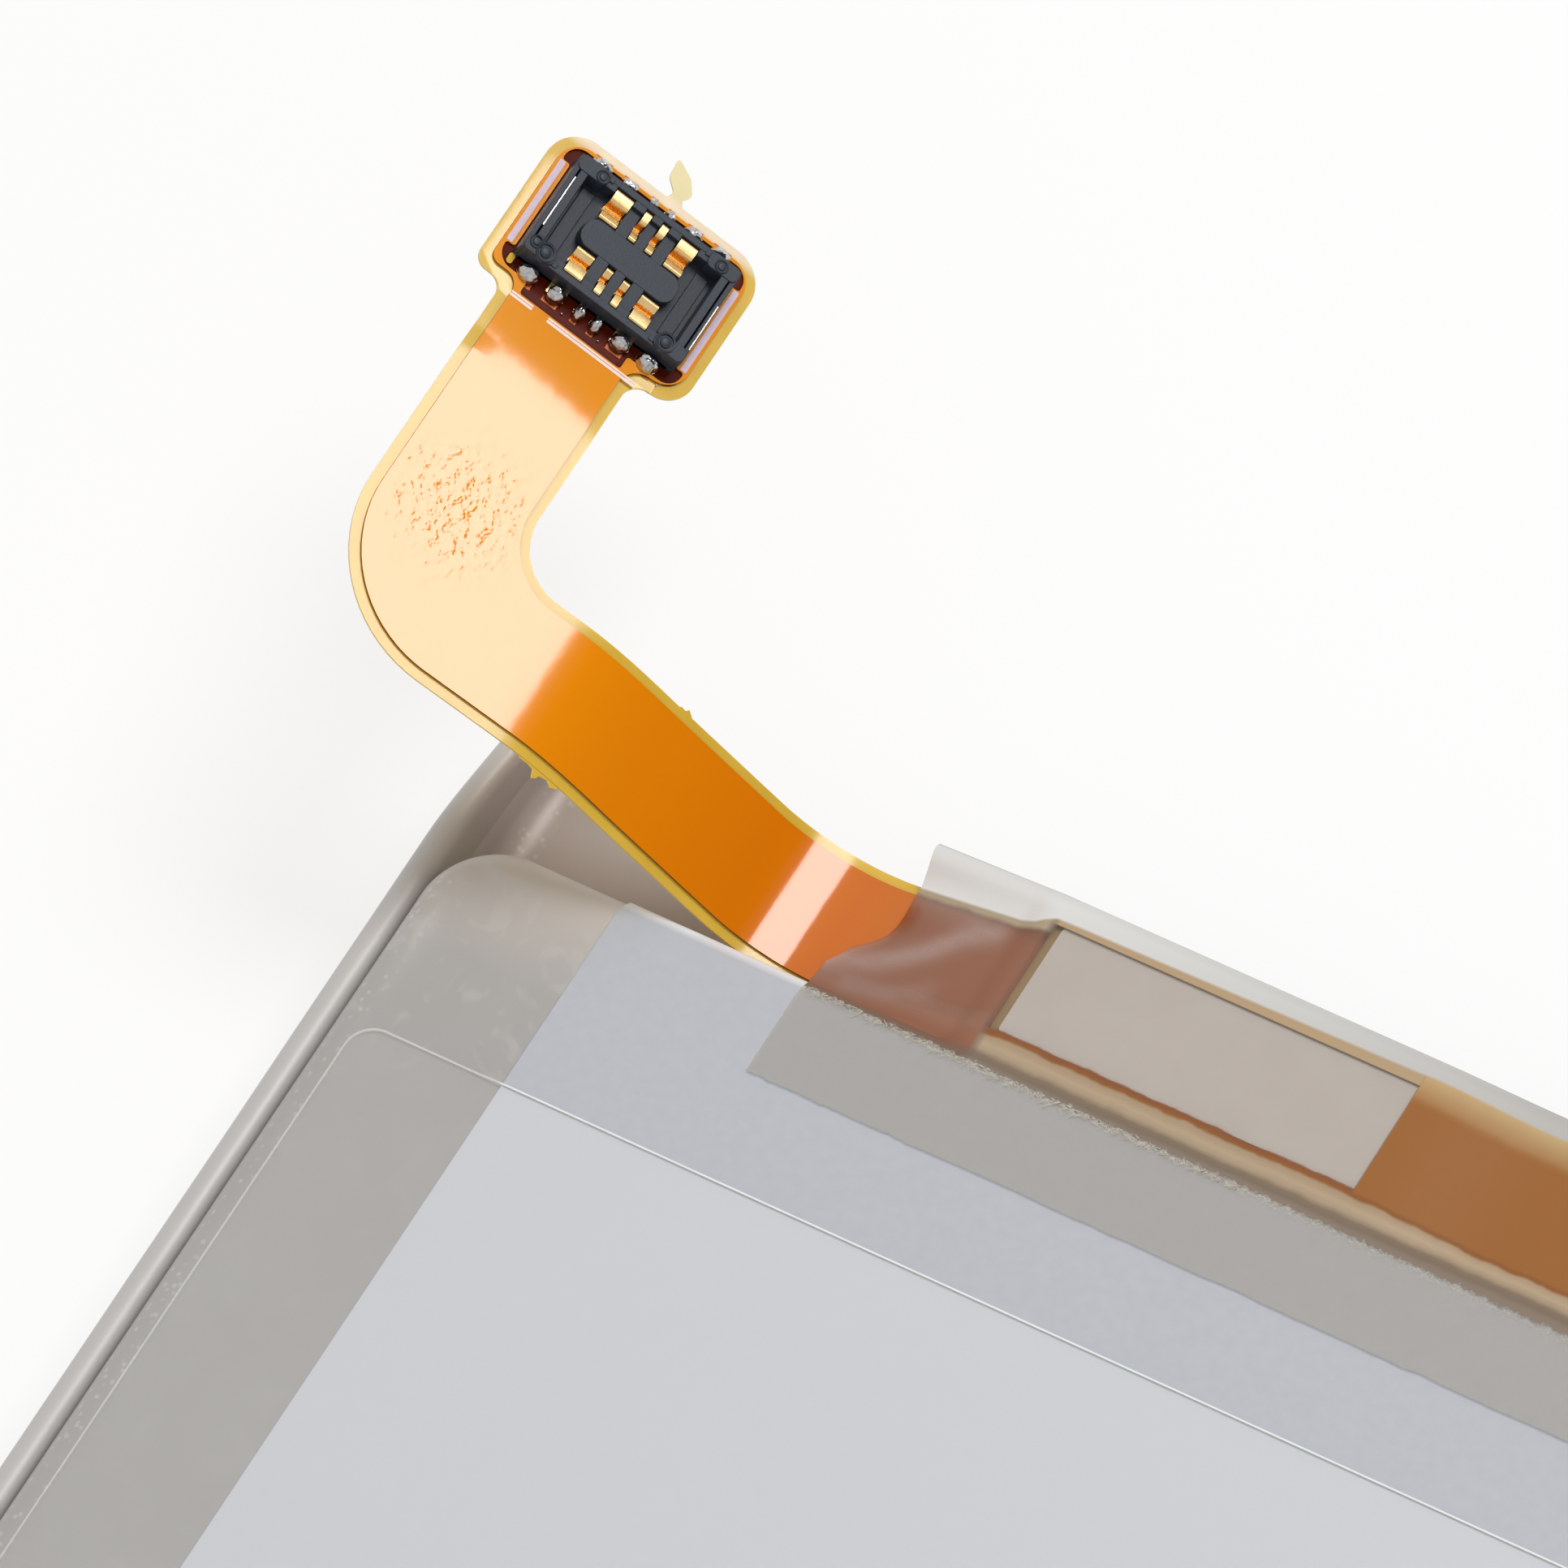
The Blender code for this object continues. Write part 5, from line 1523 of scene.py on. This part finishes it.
class BATTERY_OT_board(bpy.types.Operator):
    """Build the protection board with its cap, patch, chips, tabs and weld plates"""
    bl_idname = "battery.board"
    bl_label = "Protection board"

    def execute(self, context):
        tan = circuit_board()
        board = softened("protection_board", 0.03 * mm, 40)
        show("board", board, tan, ["protection_board"])
        show("cap", softened("board_cap", 0.02 * mm, 40), tan, ["board_cap"])
        outline = rectangle(patch_left, patch_right, patch_front, patch_back, patch_radius)
        patch = slab([outline], patch_bottom, patch_thickness)
        show("patch", patch, white_print(), ["marking_patch"])
        black = black_resin()
        ceramic = fired_ceramic()
        for node, finish in (
                ("protection_chip", black), ("switch_pair", black), ("sense_resistor", black),
                ("resistor_1", black), ("chip_fuse", ceramic), ("thermistor", black),
                ("capacitor_1", ceramic), ("capacitor_2", ceramic)):
            dress(node, finish)
        nickel = rolled_nickel()
        sealing = seal_film()
        for name, metal, slot in (
                ("positive", rolled_aluminium(), "aluminium_tab"), ("negative", nickel, "nickel")):
            show(f"{name}_tab_strip", copy_of(f"{name}_tab"), metal, [f"{name}_tab"])
            dress(f"{name}_weld_plate", nickel)
            dress(f"{name}_tab_film", sealing)
        dress("insulation_strip", insulating_paper())
        return {"FINISHED"}


# Tape over the terrace

def tape_rows():
    """Side view of the tape over the board as (Y, Z) points, from the face to its edge below."""
    half = tape_thickness / 2
    cover = 2 * clearance + label_thickness + half
    radius = face_radius + cover
    centre_y = half_length - face_radius
    centre_z = face - face_radius
    start = half_length - tape_overlap
    rows = [(start + (centre_y - start) * step / 12, face + cover) for step in range(12)]
    for step in range(6):
        turn = math.radians(30) * step / 5
        rows.append((centre_y + radius * math.sin(turn), centre_z + radius * math.cos(turn)))
    near, high = rows[-1]
    far = board_front + 0.1 * mm
    for step in range(1, 10):
        part = step / 9
        sag = 4 * part * (1 - part) * tape_sag
        rows.append((near + (far - near) * part, high + (tape_top - high) * part - sag))
    rows += [(board_front + (board_back - board_front) * part / 12, tape_top) for part in range(1, 11)]
    rows.append((strip_back - tape_thickness, tape_top))
    for step in range(9):
        turn = math.radians(90) * step / 8
        y = tape_outer - tape_shoulder * (1 - math.sin(turn))
        rows.append((y, tape_top - tape_shoulder * (1 - math.cos(turn))))
    # Round the bend of the tabs, then back under the flange
    plate_thickness, tab_thickness, tab_overhang = 0.14 * mm, 0.1 * mm, 0.15 * mm
    tab_start = floor_top - floor_thickness / 2
    tab_end = board_bottom - clearance - plate_thickness - clearance - tab_thickness / 2
    tab_radius = (tab_end - tab_start) / 2
    bulge = flange_end + tab_overhang + tab_radius + tab_thickness / 2 + clearance + half
    under = floor_top - floor_thickness - clearance - half
    rows.append((bulge, tab_start + 1.5 * tab_radius))
    rows += rounded([
        (bulge, tab_start + tab_radius, 0), (bulge, under, 0.4 * mm),
        (flange_end - 0.7 * mm, under, 0)], closed=False)
    return rows


def tape_left_edge(y):
    """X of the tape's free left edge: square on the cell, drawn in over the strip."""
    # Places along Y and the edge's X there, in millimetres
    course = ((43.1, -13.6), (43.5, -14.02), (44.06, -13.95), (44.58, -13.64), (45.02, -13.14),
              (45.4, -13.05), (46.4, -13.1), (47.2, -13.15))
    place = y / mm
    if place <= course[0][0]:
        return tape_left
    for (start, x), (end, next_x) in zip(course, course[1:]):
        if place < end:
            return (x + (next_x - x) * smoothstep((place - start) / (end - start))) * mm
    return course[-1][1] * mm


def tape_height(x, y, z):
    """Height of the tape left of the board, where it sinks onto the falling strip."""
    distance = (board_left - x) / math.cos(flex_slope)
    if distance <= 0 or z < board_bottom or y < half_length - face_radius:
        return z
    gap, fall, fade_length = 0.04 * mm, 0.065, 0.8 * mm
    strip_z, tilt = flex_place(distance)[1:]
    cover_top = flex_base_thickness / 2 + clearance + flex_cover_thickness
    on_strip = strip_z + (cover_top + clearance + tape_thickness / 2) / math.cos(tilt) + gap
    if y > strip_back:
        fade = min(1.0, (y - strip_back) / (tape_outer - strip_back))
        on_strip += (z - fall * distance - on_strip) * fade
    if y < strip_front:
        # Round the cell's edge, then down to the strip
        radius = face_radius + 2 * clearance + label_thickness + tape_thickness / 2
        past = min(0.98, (y - half_length + face_radius) / radius)
        arc = face - face_radius + radius * math.sqrt(1 - past ** 2)
        lip = half_length - 0.06 * mm
        reach = smoothstep((y - lip) / (strip_front - lip))
        on_strip = max(on_strip, min(arc, z) + (on_strip - min(arc, z)) * reach)
    return z + (on_strip - z) * smoothstep(distance / fade_length)


def tape_drop(x, y, z):
    """How far the tape lies lower where the board has no cap under it."""
    if y < half_length:
        return 0.0
    cap_end, slope_length, depth = board_left + 8.1 * mm, 2.8 * mm, 0.204 * mm
    past = smoothstep((y - half_length) / (0.4 * mm)) * smoothstep((x - cap_end) / slope_length)
    share = min(1.0, max(0.0, (z - tape_top + tape_shoulder) / tape_shoulder))
    return depth * past * share


# Courses of the soft creases in the tape over the strip: points, half width and strength
tape_creases = (
    (((-13.9, 44.2), (-12.93, 44.49), (-12.22, 44.95), (-11.68, 45.5), (-11.1, 45.82)), 0.26,
     0.8),
    (((-12.8, 46.1), (-12.2, 46.0), (-11.6, 46.0)), 0.24, 0.45),
    (((-13.3, 43.8), (-12.5, 43.9), (-11.7, 44.2)), 0.2, 0.35))


def crease_at(x, y, z):
    """Strength of the creases of the tape over the strip."""
    lowest_y, lowest_z, fade = 43.3 * mm, 1.2 * mm, 0.8 * mm
    if y < lowest_y or x > board_left or z < lowest_z:
        return 0.0
    spot = Vector((x / mm, y / mm))
    total = 0.0
    for points, width, strength in tape_creases:
        best = 10.0
        for start, end in zip(points, points[1:]):
            start = Vector(start)
            along = Vector(end) - start
            share = min(1.0, max(0.0, (spot - start).dot(along) / along.length_squared))
            best = min(best, (spot - start - along * share).length)
        total += strength * math.exp(-(best / width) ** 2)
    return min(1.0, total * smoothstep((board_left - x) / fade))


def terrace_tape():
    """Frosted tape from the face over the board and down round the tabs."""
    columns = 46
    torn_depth, crease_lift = 0.05 * mm, 0.045 * mm
    # The mesh is coarser right of the cap's end
    cap_end = -1.95 * mm
    fixed = [board_left] + spread(board_left, cap_end, 0.4 * mm, 0.4 * mm)
    fixed += spread(cap_end, tape_right, 0.3 * mm, 0.6 * mm)
    rows = []
    for y, z in tape_rows():
        left = tape_left_edge(y)
        line = []
        for column in range(columns):
            x = left + (board_left - left) * column / columns
            line.append((x, y, tape_height(x, y, z)))
        line += [(x, y, z - tape_drop(x, y, z)) for x in fixed]
        torn = torn_depth * (1 - smoothstep((y - half_length + tape_overlap) / (0.4 * mm)))
        line = [(x, y + torn * ripple(x, 0, 0.22 * mm, 11), z) for x, y, z in line]
        row = []
        for x, y, z in line:
            on_face = y < half_length - face_radius
            row.append((x, y, z - relief(x, y) if on_face else z + crease_lift * crease_at(x, y, z)))
        rows.append(row)
    mesh = thickened(grid_mesh(rows), tape_thickness)
    # Crease strength, kept for the painted highlight along the creases
    creases = mesh.attributes.new("crease", "FLOAT", "POINT")
    for corner, value in zip(mesh.vertices, creases.data):
        value.value = crease_at(*corner.co)
    return mesh


def bristle_tree():
    """Node tree that sets short glue threads along a line at random angles and lengths."""
    tree, given = open_tree("glue_threads", (
        ("Count", "Int"), ("Length", "Float"), ("Thickness", "Float"), ("Scatter", "Float"),
        ("Seed", "Int")))
    even = add_node(
        tree, "GeometryNodeResampleCurve", {"Curve": given["Geometry"], "Count": given["Count"]})
    shift = add_node(
        tree, "FunctionNodeRandomValue", {0: (-1, -1, 0), 1: (1, 1, 0), "Seed": given["Seed"]},
        data_type="FLOAT_VECTOR")
    scatter = add_node(
        tree, "ShaderNodeVectorMath", {0: shift.outputs[0], "Scale": given["Scatter"]},
        operation="SCALE")
    points = add_node(
        tree, "GeometryNodeSetPosition",
        {"Geometry": even.outputs["Curve"], "Offset": scatter.outputs["Vector"]})
    thread = add_node(
        tree, "GeometryNodeMeshCone",
        {"Vertices": 5, "Radius Top": 0.0, "Radius Bottom": given["Thickness"], "Depth": given["Length"]})
    turn = add_node(
        tree, "FunctionNodeRandomValue",
        {0: (1.25, -0.2, -2.6), 1: (1.5, 0.2, -0.3), "Seed": given["Seed"]},
        data_type="FLOAT_VECTOR")
    size = add_node(
        tree, "FunctionNodeRandomValue",
        {0: (0.5, 0.5, 0.3), 1: (1.2, 1.2, 1.0), "Seed": given["Seed"]}, data_type="FLOAT_VECTOR")
    threads = add_node(
        tree, "GeometryNodeInstanceOnPoints",
        {"Points": points.outputs["Geometry"], "Instance": thread.outputs["Mesh"],
         "Rotation": turn.outputs[0], "Scale": size.outputs[0]})
    close_tree(tree, threads.outputs["Instances"], given["Material"])
    return tree


def glue_thread_finish():
    # Drawn adhesive threads: pale tan, waxy
    return surface("drawn_adhesive", "CFC7B8", "B4AA98", 0.2 * mm, 0.5)


def adhesion_line():
    """Curve along which the tape's glue ends, on top of the tape where it rounds the cell's edge."""
    curve = bpy.data.curves.new("adhesion", "CURVE")
    curve.dimensions = "3D"
    spline = curve.splines.new("POLY")
    stations = 60
    skew, wander, lift = 0.012, 0.05 * mm, 0.004 * mm
    spline.points.add(stations)
    height = face + 2 * clearance + label_thickness + tape_thickness
    for index, point in enumerate(spline.points):
        along = adhesion_length * index / stations
        x = adhesion_left + along
        y = adhesion_middle - skew * along + wander * ripple(x, 0, 1.2 * mm, 3)
        sink = face_radius - math.sqrt(face_radius ** 2 - (y - half_length + face_radius) ** 2)
        point.co = (x, y, height - sink + lift, 1)
    return curve


class BATTERY_OT_tape(bpy.types.Operator):
    """Lay the frosted tape over the terrace, with torn glue threads where its glue ends"""
    bl_idname = "battery.tape"
    bl_label = "Terrace tape"

    def execute(self, context):
        sheet = terrace_tape()
        show("terrace_tape_sheet", sheet, frosted_tape(), ["terrace_tape"], sharp=50)
        settings = context.scene.battery_tape
        finish = glue_thread_finish()
        threads = grown(adhesion_line(), bristle_tree(), {
            "Count": settings.bristles, "Length": settings.bristle_length, "Thickness": 0.016 * mm,
            "Scatter": 0.06 * mm, "Seed": 5, "Material": finish})
        show("glue_threads", outward(threads), finish)
        return {"FINISHED"}


# Stage

# The camera's directions, the label's corner that it is placed by, and the picture's middle from there
camera_right = Vector((0.846, 0.512, -0.149))
camera_back = Vector((0.378, -0.379, 0.845))
view_reference = Vector((-label_half, 43.0 * mm, face))
view_shift = (3.046 * mm, 2.292 * mm)
view_width = 29.72 * mm
view_lens = 400.0
sensor_width = 36.0
# Softbox and flag: the softbox hangs in softbox_way from the strip's middle, the flag lies in flag_way
softbox_height = 0.3
softbox_size = (0.62 * softbox_height, 0.44 * softbox_height)
softbox_way = Vector((0.45, 0.49, 1.0))
strip_middle = Vector((-20 * mm, 47 * mm, 7 * mm))
flag_way = (0.87, 0.38, 0.29)


def studio_paper():
    # Matt white paper: nearly pure white to the camera and in mirror images, plain paper to other light
    material = bpy.data.materials.new("studio_paper")
    material.use_nodes = True
    tree = material.node_tree
    shader = tree.nodes["Principled BSDF"]
    shader.inputs["Base Color"].default_value = tone("F4F4F3")
    shader.inputs["Roughness"].default_value = 0.9
    shader.inputs["Specular IOR Level"].default_value = 0.1
    whiteness = 0.72
    rays = add_node(tree, "ShaderNodeLightPath").outputs
    seen = rays["Is Camera Ray"]
    for ray in ("Is Glossy Ray", "Is Transmission Ray"):
        seen = add_node(
            tree, "ShaderNodeMath", {0: seen, 1: rays[ray]}, operation="ADD").outputs["Value"]
    share = add_node(tree, "ShaderNodeMath", {0: seen, 1: whiteness}, operation="MULTIPLY")
    white = add_node(tree, "ShaderNodeEmission", {"Color": (1, 1, 1, 1), "Strength": 1.0})
    mixed = add_node(
        tree, "ShaderNodeMixShader",
        {0: share.outputs["Value"], 1: shader.outputs["BSDF"], 2: white.outputs["Emission"]})
    tree.links.new(mixed.outputs["Shader"], tree.nodes["Material Output"].inputs["Surface"])
    return material


def even_light(strength):
    """Pale even light from all round, with a black flag low on the right that keeps the amber film deep."""
    world = bpy.data.worlds.new("studio")
    world.use_nodes = True
    tree = world.node_tree
    backdrop = tree.nodes["Background"]
    backdrop.inputs["Color"].default_value = tone("FFFEFC")
    toward = add_node(tree, "ShaderNodeTexCoord").outputs["Generated"]
    facing = add_node(
        tree, "ShaderNodeVectorMath", {0: toward, 1: flag_way}, operation="DOT_PRODUCT")
    fill = add_node(
        tree, "ShaderNodeMapRange",
        {"Value": facing.outputs["Value"], "From Min": 0.78, "From Max": 0.92,
         "To Min": strength, "To Max": 0.02})
    tree.links.new(fill.outputs["Result"], backdrop.inputs["Strength"])
    return world


def placed_camera():
    """Long lens that looks at the battery's corner as the photograph does."""
    sight = bpy.data.cameras.new("camera")
    sight.lens = view_lens
    sight.sensor_width = sensor_width
    sight.clip_start = 0.01
    sight.clip_end = 10.0
    camera = bpy.data.objects.new("camera", sight)
    back = camera_back.normalized()
    right = (camera_right - back * camera_right.dot(back)).normalized()
    up = back.cross(right)
    centre = view_reference + right * view_shift[0] + up * view_shift[1]
    distance = view_width * view_lens / sensor_width
    axes = Matrix((right, up, back)).transposed().to_4x4()
    camera.matrix_world = Matrix.Translation(centre + back * distance) @ axes
    return camera


class BATTERY_OT_stage(bpy.types.Operator):
    """Set up the pale floor, the softbox, the even light and the camera"""
    bl_idname = "battery.stage"
    bl_label = "Stage"

    def execute(self, context):
        settings = context.scene.battery_stage
        context.scene.view_settings.view_transform = "Standard"
        shape = bmesh.new()
        bmesh.ops.create_grid(shape, x_segments=8, y_segments=8, size=3.0)
        bmesh.ops.translate(shape, vec=(0, 0, -0.02 * mm), verts=shape.verts)
        mesh = finished(shape, "floor")
        floor = bpy.data.objects.new("floor", mesh)
        context.scene.collection.objects.link(floor)
        mesh.materials.append(studio_paper())
        context.scene.world = even_light(settings.fill_strength)
        # The softbox hangs so that the flat arm mirrors it, while the head and the rising strip don't
        lamp = bpy.data.lights.new("softbox", "AREA")
        lamp.shape = "RECTANGLE"
        lamp.size, lamp.size_y = softbox_size
        lamp.energy = settings.key_radiance * math.pi * lamp.size * lamp.size_y
        softbox = bpy.data.objects.new("softbox", lamp)
        softbox.location = strip_middle + softbox_way * softbox_height
        camera = placed_camera()
        for item in (softbox, camera):
            context.scene.collection.objects.link(item)
        context.scene.camera = camera
        return {"FINISHED"}


class BATTERY_PT_panel(bpy.types.Panel):
    bl_label = "Battery"
    bl_idname = "BATTERY_PT_panel"
    bl_space_type = "VIEW_3D"
    bl_region_type = "UI"
    bl_category = "Battery"

    def draw(self, context):
        layout = self.layout
        for operator in operators:
            layout.operator(operator.bl_idname)
        for group in setting_groups:
            settings = getattr(context.scene, group)
            for name in settings.bl_rna.properties.keys():
                if name not in ("rna_type", "name"):
                    layout.prop(settings, name)


operators = (
    BATTERY_OT_stage, BATTERY_OT_pouch, BATTERY_OT_face, BATTERY_OT_flex, BATTERY_OT_connector,
    BATTERY_OT_board, BATTERY_OT_tape)
setting_groups = {
    "battery_cell": CellSettings, "battery_flex": FlexSettings, "battery_connector": ConnectorSettings,
    "battery_tape": TapeSettings, "battery_stage": StageSettings}


def register():
    for kind in (*setting_groups.values(), *operators, BATTERY_PT_panel):
        bpy.utils.register_class(kind)
    for name, kind in setting_groups.items():
        setattr(bpy.types.Scene, name, bpy.props.PointerProperty(type=kind))


def unregister():
    for name in setting_groups:
        delattr(bpy.types.Scene, name)
    for kind in (BATTERY_PT_panel, *reversed(operators), *reversed(setting_groups.values())):
        bpy.utils.unregister_class(kind)


def main():
    register()
    bpy.ops.battery.stage()
    bpy.ops.battery.pouch()
    bpy.ops.battery.face()
    bpy.ops.battery.flex()
    bpy.ops.battery.connector()
    bpy.ops.battery.board()
    bpy.ops.battery.tape()


if __name__ == "__main__":
    main()
